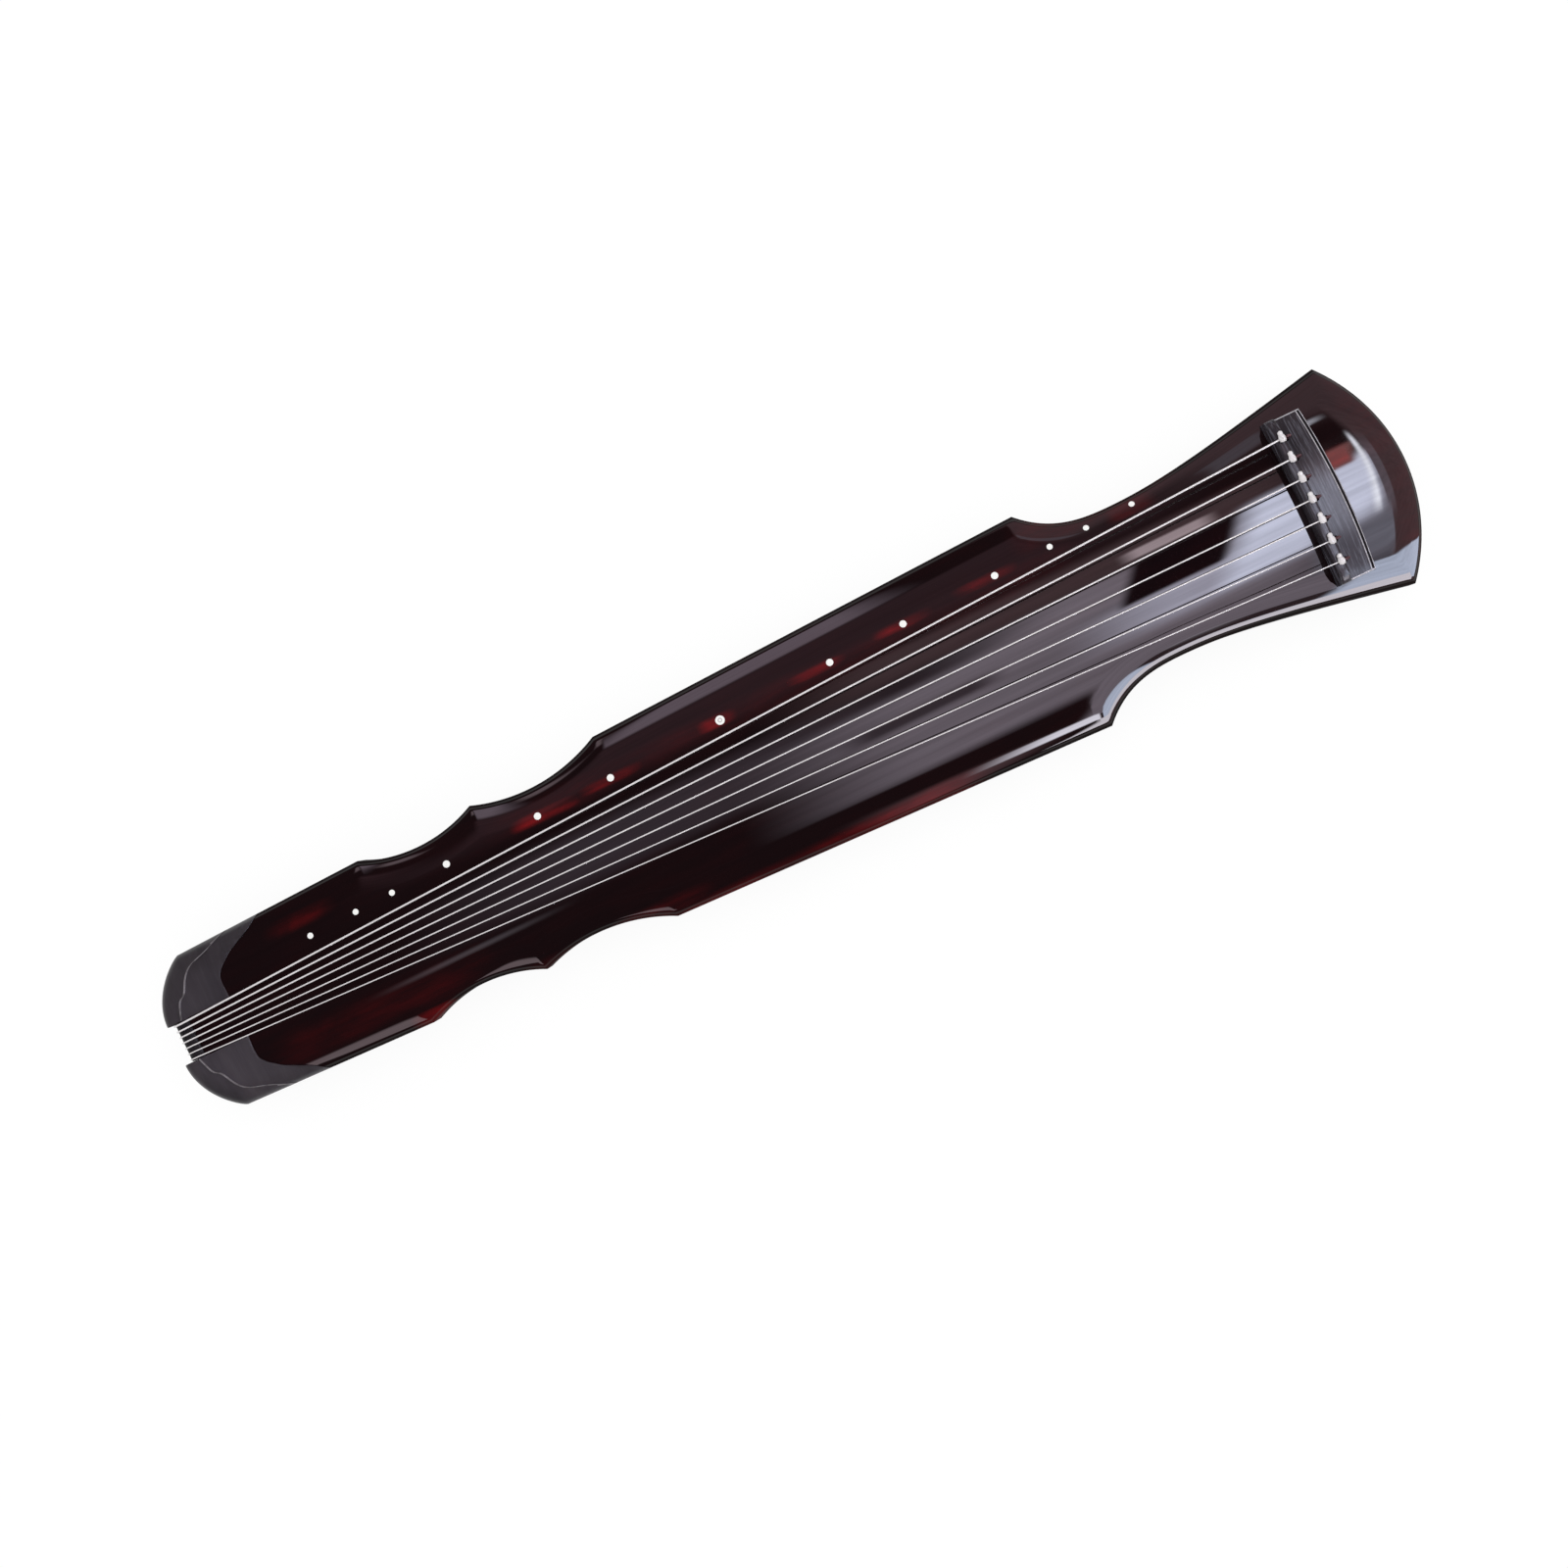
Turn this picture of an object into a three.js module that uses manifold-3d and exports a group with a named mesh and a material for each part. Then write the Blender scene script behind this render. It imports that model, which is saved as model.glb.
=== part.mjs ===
// Guqin, the seven-string zither, lying on its two goose feet and two peg guards.
// Millimetres. +X runs from the tail to the head, +Y points away from the player, +Z is up.
// The origin is on the table, under the middle of the body.
import * as THREE from "three";
import { mergeVertices } from "three/addons/utils/BufferGeometryUtils.js";
import Module from "manifold-3d";

const wasm = await Module();
wasm.setup();

// Clearances
const seatGap = 0.3;
const cutOverrun = 5;
const mergeDistance = 0.001;
const slopeStep = 0.5;

// Body outline, seen from above: lengths one after the other from the tail, and half widths
const tailLength = 222;
const firstWaistLength = 114.8;
const secondWaistLength = 128.7;
const barrelLength = 432;
const neckEntryLength = 83.5;
const headLength = 259;
const tailArcDepth = 35;
const tailHalfWidth = 75.6;
const firstCornerHalfWidth = 81.8;
const firstWaistDepth = 13;
const cuspHalfWidth = 82.8;
const secondWaistDepth = 13.6;
const lastCornerHalfWidth = 90.8;
const shoulderHalfWidth = 105.9;
const neckHalfWidth = 75.3;
const headArcRadius = 180;
const headHalfWidth = 108.7;

// Handles of the outline's three free curves, as shares of each curve's own length and width
const tailCurveShares = [[0, 0.59], [0.84, 0.97]];
const neckEntryShares = [[0.311, 0.92], [0.66, 1]];
const neckExitShares = [[0.228, 0], [0.45, 0.261]];

// Body heights
const footHeight = 30;
const bottomThickness = 9;
const bodyHeight = 52;
const archRadius = 450;
const headFallRun = 420;
const headFall = 8.745;
const tailFallRun = 270;
const tailFall = 4.106;
const rimWidth = 26;
const rimFall = 6;
const edgeRound = 5;

// Sound chamber
const wallThickness = 16;
const topThickness = 9;
const chamberFromTail = 129.5;
const chamberToNeck = 30.5;
const moundOverhang = 12;
const moundHeight = 8;
const moundHalfWidth = 34;

// Sound holes in the bottom board and their rims
const pondFromShoulder = 168;
const pondLength = 210;
const pondWidth = 28;
const poolFromTail = 205;
const poolLength = 110;
const poolWidth = 26;
const holeCornerRadius = 6;
const rimWall = 2.5;

// Strings
const stringDiameters = [1.7, 1.56, 1.4, 1.28, 1.18, 1.08, 1];
const bridgeFromHead = 102;
const stringSpanAtBridge = 121.2;
const stringSpanAtNut = 33.5;

// Bridge and the hardwood strip behind it
const bridgeWidth = 10;
const bridgeLength = 161;
const bridgeHeight = 17;
const bridgeTopRound = 2.5;
const bridgeCrownRadius = 900;
const bridgeEndRun = 12;
const bridgeEndFall = 5;
const stripEndWidth = 28;
const stripMiddleWidth = 30.8;
const stripRise = 1.2;
const inlayDepth = 3;
const stringHoleBehindBridge = 10;
const stringHoleDiameter = 6;

// Knot at the head end of each string
const knotRadius = 3;
const knotHalfLength = 3.6;
const knotHalfHeight = 2.55;
const knotPastMiddle = 1;
const knotTailRadius = 2.2;
const knotTailLength = 2.6;
const knotTailReach = 1;

// Tuning pegs, their well and its hardwood ceiling
const wellWidth = 28;
const wellEndMargin = 14;
const wellDepth = 18;
const plateThickness = 4;
const pegFloorClearance = 4;
const pegTopRadius = 7.8;
const pegTopRim = 2;
const pegWaistRadius = 5;
const pegGripRadius = 7;
const pegEndRadius = 5.8;
const pegBoreRadius = 2.2;
const pegPocketRadius = 4.2;
const pegPocketDepth = 7;
const pegSideHoleRadius = 1.2;
const pegProfileShares = { waist: 0.24, swell: 0.6, grip: 0.88 };

// Silk cords between the string knots and the pegs
const cordRadius = 1.4;
const cordKnotRadius = 2.8;

// Tail nut, lower nut and the notch between the tail trims
const notchDepth = 9.5;
const notchMargin = 2.15;
const notchWallSetback = 2;
const nutLength = 15;
const nutContactInset = 8.5;
const nutRise = 2.2;
const nutInset = 16;
const nutRound = 8.5;
const lowerNutDrop = 2.5;
const lowerNutHeight = 14;
const lowerNutRound = 4;

// Tail trims: inner edge and raised wavy line, as places from the tail and the middle line
const trimFloorBelowCrown = 26;
const trimRise = 0.8;
const trimRidgeRise = 0.8;
const trimReach = 119.5;
const ridgeReach = 87.5;
const trimEdgeShares = [
  [0.563, 0.25], [0.558, 0.5], [0.592, 0.61], [0.651, 0.69],
  [0.709, 0.76], [0.806, 0.84], [0.903, 0.92], [1, 1.04],
];
const ridgeLineShares = [
  [0.203, 0.25], [0.222, 0.32], [0.27, 0.46], [0.347, 0.53],
  [0.424, 0.7], [0.52, 0.81], [0.731, 0.9], [1, 1.04],
];

// Marker studs: places as shares of the string length, from the bridge
const studShares = [
  1 / 8, 1 / 6, 1 / 5, 1 / 4, 1 / 3, 2 / 5, 1 / 2, 3 / 5, 2 / 3, 3 / 4, 4 / 5, 5 / 6, 7 / 8,
];
const studDiameters = [5.5, 5.5, 5.5, 6.6, 6.6, 6.6, 8.6, 6.6, 6.6, 6.6, 5.5, 5.5, 5.5];
const studThickness = 2;
const studOffsetAtBridge = 12.2;
const studOffsetAtNut = 16.3;

// Goose feet, their blocks and the peg guards
const feetPastCusp = 21.2;
const footSoleRadius = 11;
const footSoleHeight = 3;
const footNeckRadius = 8;
const footTopRadius = 10;
const footTopHeight = 2;
const tenonRadius = 6;
const tenonLength = 20;
const footBlockLength = 36;
const footBlockWidth = 20;
const footBlockHeight = 14;
const footBlockToWall = 4;
const guardToWell = 6.4;
const guardThickness = 12;
const guardLength = 38;
const guardFootLength = 28;
const guardCornerRadius = 4;

// Winding of the strings on the feet
const windingTurns = 1.5;

// Sound posts, one beyond each end of the dragon pond
const roundPostFromPond = 51.5;
const squarePostFromPond = 102.5;
const postWidth = 12;

// How far a grown outline may run out past a sharp corner, as a share
const sharpCornerShare = 0.5;

// Counts of steps in curves and rings
const arcSteps = 6;
const straightSteps = 6;
const shortStraightSteps = 3;
const headArcSteps = 8;
const tubeSides = 6;
const turnSteps = 24;
const bendSteps = 4;
const cordKnotSteps = 5;
const pegSides = 12;
const footSides = 24;
const holeSides = 12;
const studSides = 12;
const knotAcross = 8;
const knotAround = 6;
const moundAcross = 12;
const moundAround = 6;
const cornerSteps = 3;

// Places worked out from the sizes
const waistsLength = firstWaistLength + secondWaistLength;
const bodyLength = tailLength + waistsLength + barrelLength + neckEntryLength + headLength;
const tailEnd = -bodyLength / 2;
const headEnd = bodyLength / 2;
const firstCornerX = tailEnd + tailLength;
const cuspX = firstCornerX + firstWaistLength;
const lastCornerX = cuspX + secondWaistLength;
const shoulderX = lastCornerX + barrelLength;
const neckX = shoulderX + neckEntryLength;
const underside = footHeight;
const seam = underside + bottomThickness;
const crownTop = underside + bodyHeight;
const stringCount = stringDiameters.length;
const bridgeX = headEnd - bridgeFromHead;
const notchX = tailEnd + notchDepth;
const notchHalfWidth = stringSpanAtNut / 2 + notchMargin;
const nutX = notchX + nutContactInset;
const stringLength = bridgeX - nutX;
const holeX = bridgeX + stringHoleBehindBridge;
const wellCeiling = underside + wellDepth;
const wellHalfLength = stringSpanAtBridge / 2 + wellEndMargin;
const headArcCentreX = headEnd - headArcRadius;
const headCornerX = headArcCentreX + Math.sqrt(headArcRadius ** 2 - headHalfWidth ** 2);
const tailFanX = tailEnd + tailArcDepth + tailHalfWidth / 2;
const trimFloor = crownTop - trimFloorBelowCrown;
const feetX = cuspX + feetPastCusp;
const guardY = wellHalfLength + guardToWell + guardThickness / 2;
const pondX = shoulderX - pondFromShoulder;
const poolX = tailEnd + poolFromTail;

// Colours
const lacquer = { color: 0x1c0b0b, roughness: 0.12, metalness: 0 };
const hardwood = { color: 0x3a3438, roughness: 0.38, metalness: 0 };
const bareWood = { color: 0x8a6b4a, roughness: 0.8, metalness: 0 };
const pearl = { color: 0xf1eee8, roughness: 0.25, metalness: 0 };
const stringSilk = { color: 0xcfc4c4, roughness: 0.35, metalness: 0 };
const cordSilk = { color: 0x6e1a1c, roughness: 0.75, metalness: 0 };

const guqin = new THREE.Group();
guqin.name = "guqin";

function addPiece(name, geometry, look) {
  const piece = new THREE.Mesh(geometry, new THREE.MeshStandardMaterial(look));
  piece.name = name;
  guqin.add(piece);
  return piece;
}

// Solids and meshes

function meshFrom(positions, faces) {
  const geometry = new THREE.BufferGeometry();
  geometry.setAttribute("position", new THREE.Float32BufferAttribute(positions, 3));
  geometry.setIndex(faces);
  return geometry;
}

function signedVolume(positions, faces) {
  const corners = [0, 1, 2].map(() => new THREE.Vector3());
  let volume = 0;
  for (let f = 0; f < faces.length; f += 3) {
    corners.forEach((corner, k) => corner.fromArray(positions, 3 * faces[f + k]));
    volume += corners[0].dot(corners[1].clone().cross(corners[2]));
  }
  return volume;
}

// A closed skin whose faces all point out, whichever way round its rings were listed.
function outwardMesh(positions, faces) {
  return meshFrom(positions, signedVolume(positions, faces) < 0 ? faces.slice().reverse() : faces);
}

function solidOf(geometry) {
  const bare = geometry.clone();
  bare.deleteAttribute("normal");
  bare.deleteAttribute("uv");
  const merged = mergeVertices(bare);
  const vertProperties = new Float32Array(merged.attributes.position.array);
  const triVerts = new Uint32Array(merged.index.array);
  return new wasm.Manifold(new wasm.Mesh({ numProp: 3, vertProperties, triVerts }));
}

function geometryOf(solid) {
  const mesh = solid.getMesh();
  const geometry = meshFrom(mesh.vertProperties, Array.from(mesh.triVerts));
  geometry.computeVertexNormals();
  return geometry;
}

function carve(geometry, cutters) {
  return geometryOf(cutters.reduce((solid, cutter) => solid.subtract(solidOf(cutter)), solidOf(geometry)));
}

function join(geometries) {
  return geometryOf(geometries.map(solidOf).reduce((whole, next) => whole.add(next)));
}

function common(first, second) {
  return geometryOf(solidOf(first).intersect(solidOf(second)));
}

// A closed skin over rings of corners that all have the same number of corners.
function loft(rings) {
  const corners = rings[0].length;
  const lastRing = (rings.length - 1) * corners;
  const positions = rings.flat().flatMap((point) => [point.x, point.y, point.z]);
  const faces = [];
  for (let start = 0; start < lastRing; start += corners) {
    for (let corner = 0; corner < corners; corner++) {
      const here = start + corner;
      const next = start + (corner + 1) % corners;
      faces.push(here, next, next + corners, here, next + corners, here + corners);
    }
  }
  for (let corner = 1; corner < corners - 1; corner++) {
    faces.push(0, corner + 1, corner);
    faces.push(lastRing, lastRing + corner, lastRing + corner + 1);
  }
  return outwardMesh(positions, faces);
}

// An unbroken round tube through the given points, with a radius at each point.
function tube(points, radii) {
  const last = points.length - 1;
  const heading = (from, to) => points[to].clone().sub(points[from]).normalize();
  const side = new THREE.Vector3(0, 1, 0);
  return loft(points.map((point, i) => {
    const along = heading(Math.max(i - 1, 0), Math.max(i, 1));
    along.add(heading(Math.min(i, last - 1), Math.min(i + 1, last))).normalize();
    side.addScaledVector(along, -side.dot(along)).normalize();
    const across = along.clone().cross(side);
    return Array.from({ length: tubeSides }, (_, k) => {
      const angle = 2 * Math.PI * k / tubeSides;
      const spoke = side.clone().multiplyScalar(Math.cos(angle)).addScaledVector(across, Math.sin(angle));
      return point.clone().addScaledVector(spoke, radii[i]);
    });
  }));
}

function prism(points, bottom, top) {
  const settings = { depth: top - bottom, bevelEnabled: false };
  return new THREE.ExtrudeGeometry(new THREE.Shape(points), settings).translate(0, 0, bottom);
}

function block(xSize, ySize, bottom, top, x, y) {
  return new THREE.BoxGeometry(xSize, ySize, top - bottom).translate(x, y, (bottom + top) / 2);
}

function rod(radius, bottom, top, x, y, sides) {
  const geometry = new THREE.CylinderGeometry(radius, radius, top - bottom, sides);
  return geometry.rotateX(Math.PI / 2).translate(x, y, (bottom + top) / 2);
}

function turned(profile, sides) {
  const points = profile.map(([radius, height]) => new THREE.Vector2(radius, height));
  return new THREE.LatheGeometry(points, sides).rotateX(Math.PI / 2);
}

// The same outline with every side moved outward; the corners are listed anticlockwise.
function grown(points, distance) {
  const count = points.length;
  return points.map((point, i) => {
    const before = point.clone().sub(points[(i + count - 1) % count]).normalize();
    const after = points[(i + 1) % count].clone().sub(point).normalize();
    const normal = new THREE.Vector2(before.y + after.y, -before.x - after.x).normalize();
    const reach = distance / Math.max(normal.dot(new THREE.Vector2(after.y, -after.x)), sharpCornerShare);
    return point.clone().addScaledVector(normal, reach);
  });
}

function roundedRectangle(length, width, radius, x) {
  const corners = [[1, 1], [-1, 1], [-1, -1], [1, -1]];
  return corners.flatMap(([sx, sy], quarter) => Array.from({ length: cornerSteps + 1 }, (_, k) => {
    const angle = (quarter + k / cornerSteps) * Math.PI / 2;
    return new THREE.Vector2(
      x + sx * (length / 2 - radius) + radius * Math.cos(angle),
      sy * (width / 2 - radius) + radius * Math.sin(angle));
  }));
}

// Body outline

function bezier(start, end, shares, steps) {
  const handles = shares.map(([along, across]) => new THREE.Vector2(
    THREE.MathUtils.lerp(start.x, end.x, along), THREE.MathUtils.lerp(start.y, end.y, across)));
  return new THREE.CubicBezierCurve(start, handles[0], handles[1], end).getPoints(steps);
}

// A round hollow between two corners of the outline, sunk by depth below the straight line.
function hollow(start, end, depth) {
  const chord = end.clone().sub(start);
  const halfChord = chord.length() / 2;
  const radius = (halfChord ** 2 + depth ** 2) / (2 * depth);
  const inward = new THREE.Vector2(chord.y, -chord.x).normalize();
  const centre = start.clone().add(end).divideScalar(2).addScaledVector(inward, depth - radius);
  const halfAngle = Math.asin(halfChord / radius);
  return Array.from({ length: arcSteps + 1 }, (_, k) => {
    const angle = halfAngle * (2 * k / arcSteps - 1);
    const out = inward.clone().multiplyScalar(radius * Math.cos(angle));
    return centre.clone().add(out).addScaledVector(chord.clone().normalize(), radius * Math.sin(angle));
  });
}

function straight(start, end, steps) {
  return Array.from({ length: steps + 1 }, (_, k) => start.clone().lerp(end, k / steps));
}

// The far half of the outline, from the notch in the tail to the middle of the head.
function halfOutline() {
  const notchCorner = new THREE.Vector2(tailEnd, notchHalfWidth);
  const tailCorner = new THREE.Vector2(tailEnd + tailArcDepth, tailHalfWidth);
  const firstCorner = new THREE.Vector2(firstCornerX, firstCornerHalfWidth);
  const cusp = new THREE.Vector2(cuspX, cuspHalfWidth);
  const lastCorner = new THREE.Vector2(lastCornerX, lastCornerHalfWidth);
  const shoulder = new THREE.Vector2(shoulderX, shoulderHalfWidth);
  const neck = new THREE.Vector2(neckX, neckHalfWidth);
  const headCorner = new THREE.Vector2(headCornerX, headHalfWidth);
  const headAngle = Math.asin(headHalfWidth / headArcRadius);
  const headArc = Array.from({ length: headArcSteps + 1 }, (_, k) => {
    const angle = headAngle * (1 - k / headArcSteps);
    return new THREE.Vector2(
      headArcCentreX + headArcRadius * Math.cos(angle), headArcRadius * Math.sin(angle));
  });
  const runs = [
    bezier(notchCorner, tailCorner, tailCurveShares, arcSteps),
    straight(tailCorner, firstCorner, shortStraightSteps),
    hollow(firstCorner, cusp, firstWaistDepth),
    hollow(cusp, lastCorner, secondWaistDepth),
    straight(lastCorner, shoulder, straightSteps),
    bezier(shoulder, neck, neckEntryShares, arcSteps),
    bezier(neck, headCorner, neckExitShares, arcSteps),
    headArc,
  ];
  return runs.flatMap((run, i) => (i === 0 ? run : run.slice(1)));
}

const farSide = halfOutline();

// The whole outline, anticlockwise seen from above, flat across the notch in the tail.
const bodyOutline = [
  ...farSide.slice(0, -1).map((point) => new THREE.Vector2(point.x, -point.y)),
  ...farSide.slice().reverse(),
];

function halfWidthAt(x) {
  const next = farSide.findIndex((point) => point.x >= x);
  const before = farSide[next - 1];
  const after = farSide[next];
  return THREE.MathUtils.mapLinear(x, before.x, after.x, before.y, after.y);
}

// Heights of the playing surface

function fallPast(distance, run, fall) {
  return fall * Math.max(distance / run, 0) ** 2;
}

function crownAt(x) {
  const towardHead = fallPast(headFallRun - (headEnd - x), headFallRun, headFall);
  const towardTail = fallPast(tailFallRun - (x - tailEnd), tailFallRun, tailFall);
  return crownTop - towardHead - towardTail;
}

function insetAt(x, y) {
  const spot = new THREE.Vector3(x, y, 0);
  const side = new THREE.Line3();
  const nearest = new THREE.Vector3();
  return Math.min(...bodyOutline.map((corner, i) => {
    const next = bodyOutline[(i + 1) % bodyOutline.length];
    side.start.set(corner.x, corner.y, 0);
    side.end.set(next.x, next.y, 0);
    return side.closestPointToPoint(spot, true, nearest).distanceTo(spot);
  }));
}

// The top is a wide arch, with a rim all round that falls away more steeply.
function surfaceAt(x, y) {
  const archFall = y ** 2 / (2 * archRadius);
  return crownAt(x) - archFall - fallPast(rimWidth - insetAt(x, y), rimWidth, rimFall);
}

function normalAt(x, y) {
  const slopeX = (surfaceAt(x + slopeStep, y) - surfaceAt(x - slopeStep, y)) / (2 * slopeStep);
  const slopeY = (surfaceAt(x, y + slopeStep) - surfaceAt(x, y - slopeStep)) / (2 * slopeStep);
  return new THREE.Vector3(-slopeX, -slopeY, 1).normalize();
}

function edgeRoundFall(inset) {
  const within = Math.max(edgeRound - inset, 0);
  return edgeRound - Math.sqrt(edgeRound ** 2 - within ** 2);
}

// A solid with the body's outline, a flat bottom and the arched top, raised by lift.
function bodySolid(bottom, lift) {
  const edgeShares = [0, 0.12, 0.45, 1];
  const rimShares = [0.5, 1];
  const innerShares = [0.84, 0.68, 0.45, 0.22, 0];
  const rings = edgeShares.length + rimShares.length + innerShares.length;
  const columns = bodyOutline.map((edge) => {
    const foot = new THREE.Vector2(THREE.MathUtils.clamp(edge.x, tailFanX, headArcCentreX), 0);
    const reach = edge.distanceTo(foot);
    const insets = [
      ...edgeShares.map((share) => share * edgeRound),
      ...rimShares.map((share) => share * rimWidth),
      ...innerShares.map((share) => THREE.MathUtils.lerp(reach, rimWidth, share)),
    ];
    return insets.map((inset) => {
      const spot = edge.clone().lerp(foot, inset / reach);
      return new THREE.Vector3(spot.x, spot.y, surfaceAt(spot.x, spot.y) - edgeRoundFall(inset) + lift);
    });
  });
  const base = bodyOutline.map((edge) => new THREE.Vector3(edge.x, edge.y, bottom));
  const vertices = [...columns.flat(), ...base];
  const baseStart = columns.length * rings;
  const faces = [];
  columns.forEach((_, i) => {
    const j = (i + 1) % columns.length;
    faces.push(baseStart + i, baseStart + j, j * rings, baseStart + i, j * rings, i * rings);
    for (let ring = 0; ring < rings - 1; ring++) {
      const a = i * rings + ring;
      const b = j * rings + ring;
      faces.push(a, b, b + 1, a, b + 1, a + 1);
    }
  });
  THREE.ShapeUtils.triangulateShape(bodyOutline, []).forEach(([a, b, c]) => {
    faces.push(baseStart + a, baseStart + c, baseStart + b);
  });
  return withoutSlivers(vertices, faces);
}

// Where spokes meet on the middle line some faces shrink to nothing: they are left out.
function withoutSlivers(vertices, faces) {
  const numbers = new Map();
  const merged = vertices.map((vertex) => {
    const key = vertex.toArray().map((value) => Math.round(value / mergeDistance)).join();
    numbers.set(key, numbers.get(key) ?? numbers.size);
    return numbers.get(key);
  });
  const kept = [];
  for (let f = 0; f < faces.length; f += 3) {
    const [a, b, c] = faces.slice(f, f + 3).map((index) => merged[index]);
    if (a !== b && b !== c && c !== a) {
      kept.push(a, b, c);
    }
  }
  const positions = new Array(3 * numbers.size);
  vertices.forEach((vertex, i) => vertex.toArray(positions, 3 * merged[i]));
  return outwardMesh(positions, kept);
}

// Strings: heights and places that other pieces share

function spread(span, index) {
  return span / 2 - span * index / (stringCount - 1);
}

function bridgeTopAt(y) {
  const endRun = Math.max(Math.abs(y) - (bridgeLength / 2 - bridgeEndRun), 0);
  const crownFall = y ** 2 / (2 * bridgeCrownRadius);
  return crownAt(bridgeX) + bridgeHeight - crownFall - fallPast(endRun, bridgeEndRun, bridgeEndFall);
}

const nutTop = crownAt(nutX) + nutRise;
const lowerNutBottom = underside - lowerNutDrop;

// A knot lies on the bridge, just past the middle of its top.
const knotX = bridgeX + knotPastMiddle;
const knotRise = seatGap + knotHalfHeight;

// The feet stand under the chamber's sides, so that their blocks clear its walls.
const footBlockEnds = [feetX - footBlockLength / 2, feetX + footBlockLength / 2];
const footChamberHalfWidth = Math.min(...footBlockEnds.map(halfWidthAt)) - wallThickness;
const footY = footChamberHalfWidth - footBlockToWall - footBlockWidth / 2;

// Sound chamber, carved from below

function chamberSolids() {
  const start = tailEnd + chamberFromTail;
  const end = neckX - chamberToNeck;
  const stations = [start, ...farSide.map((point) => point.x).filter((x) => x > start && x < end), end];
  const yShares = [-1, -0.8, -0.5, 0, 0.5, 0.8, 1];
  const rings = stations.map((x) => {
    const halfWidth = halfWidthAt(x) - wallThickness;
    const roof = yShares.map((share) => {
      const y = share * halfWidth;
      return new THREE.Vector3(x, y, surfaceAt(x, y) - topThickness);
    });
    const floor = [halfWidth, -halfWidth].map((y) => new THREE.Vector3(x, y, seam - cutOverrun));
    return [...roof, ...floor];
  });
  const mounds = [[pondX, pondLength], [poolX, poolLength]].map(([x, length]) => {
    const mound = new THREE.SphereGeometry(1, moundAcross, moundAround);
    mound.scale(length / 2 + moundOverhang, moundHalfWidth, moundHeight);
    return mound.translate(x, 0, crownAt(x) - topThickness);
  });
  return carve(loft(rings), mounds);
}

// Bridge, strip and the cuts that hold them

const stripStartX = bridgeX + bridgeWidth / 2 + seatGap;
const inlayFloor = surfaceAt(stripStartX + stripEndWidth, bridgeLength / 2) - inlayDepth;

function bridge() {
  const half = bridgeLength / 2;
  const stations = [-half, -half + bridgeEndRun / 2, -half + bridgeEndRun, -half / 2, 0];
  const ys = [...stations, ...stations.slice(0, -1).reverse().map((y) => -y)];
  return loft(ys.map((y) => {
    const top = bridgeTopAt(y);
    const side = bridgeWidth / 2;
    const shoulder = side - bridgeTopRound;
    const bend = (sign, k) => {
      const angle = Math.PI / 2 * k / cornerSteps;
      return new THREE.Vector3(
        bridgeX + sign * (shoulder + bridgeTopRound * Math.sin(angle)), y,
        top - bridgeTopRound * (1 - Math.cos(angle)));
    };
    const steps = Array.from({ length: cornerSteps + 1 }, (_, k) => k);
    return [
      new THREE.Vector3(bridgeX - side, y, inlayFloor),
      ...steps.slice().reverse().map((k) => bend(-1, k)),
      ...steps.map((k) => bend(1, k)),
      new THREE.Vector3(bridgeX + side, y, inlayFloor),
    ];
  }));
}

function bridgeSlot() {
  const width = bridgeWidth + 2 * seatGap;
  return block(width, bridgeLength + 2 * seatGap, inlayFloor - seatGap, crownTop + cutOverrun, bridgeX, 0);
}

// The strip's plan: straight along the bridge, bowed toward the head.
function stripPlan() {
  const half = bridgeLength / 2;
  const bowed = Array.from({ length: arcSteps + 1 }, (_, k) => {
    const y = half * (2 * k / arcSteps - 1);
    const width = THREE.MathUtils.lerp(stripMiddleWidth, stripEndWidth, (y / half) ** 2);
    return new THREE.Vector2(stripStartX + width, y);
  });
  return [...bowed, new THREE.Vector2(stripStartX, half), new THREE.Vector2(stripStartX, -half)];
}

function stringHoles(bottom, top) {
  return stringDiameters.map((_, i) => rod(
    stringHoleDiameter / 2, bottom, top, holeX, spread(stringSpanAtBridge, i), holeSides));
}

function strip() {
  const raised = common(bodySolid(seam, stripRise), prism(stripPlan(), inlayFloor, crownTop + cutOverrun));
  return carve(raised, stringHoles(seam, crownTop + cutOverrun));
}

// Tail: nut, lower nut and trims

// A bar across the tail whose section is given in X and Z.
function crossBar(section, halfWidth) {
  return loft([-halfWidth, halfWidth].map((y) => section.map(([x, z]) => new THREE.Vector3(x, y, z))));
}

function quarterRound(centreX, centreZ, radius, fromAngle) {
  return Array.from({ length: bendSteps + 1 }, (_, k) => {
    const angle = fromAngle + Math.PI / 2 * k / bendSteps;
    return [centreX + radius * Math.cos(angle), centreZ + radius * Math.sin(angle)];
  });
}

const nutBackX = notchX + nutLength;
const nutFloor = nutTop - nutRise - nutInset;
const lowerNutTop = lowerNutBottom + lowerNutHeight;
const nutHalfWidth = notchHalfWidth - seatGap;

function tailNut() {
  return crossBar([
    [notchX, nutFloor],
    [nutBackX, nutFloor],
    [nutBackX, nutTop - nutRise / 2],
    [nutBackX - nutRise, nutTop],
    ...quarterRound(notchX + nutRound, nutTop - nutRound, nutRound, Math.PI / 2),
  ], nutHalfWidth);
}

function lowerNut() {
  return crossBar([
    ...quarterRound(notchX + lowerNutRound, lowerNutBottom + lowerNutRound, lowerNutRound, Math.PI),
    [nutBackX, lowerNutBottom],
    [nutBackX, lowerNutTop],
    [notchX, lowerNutTop],
  ], nutHalfWidth);
}

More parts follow.
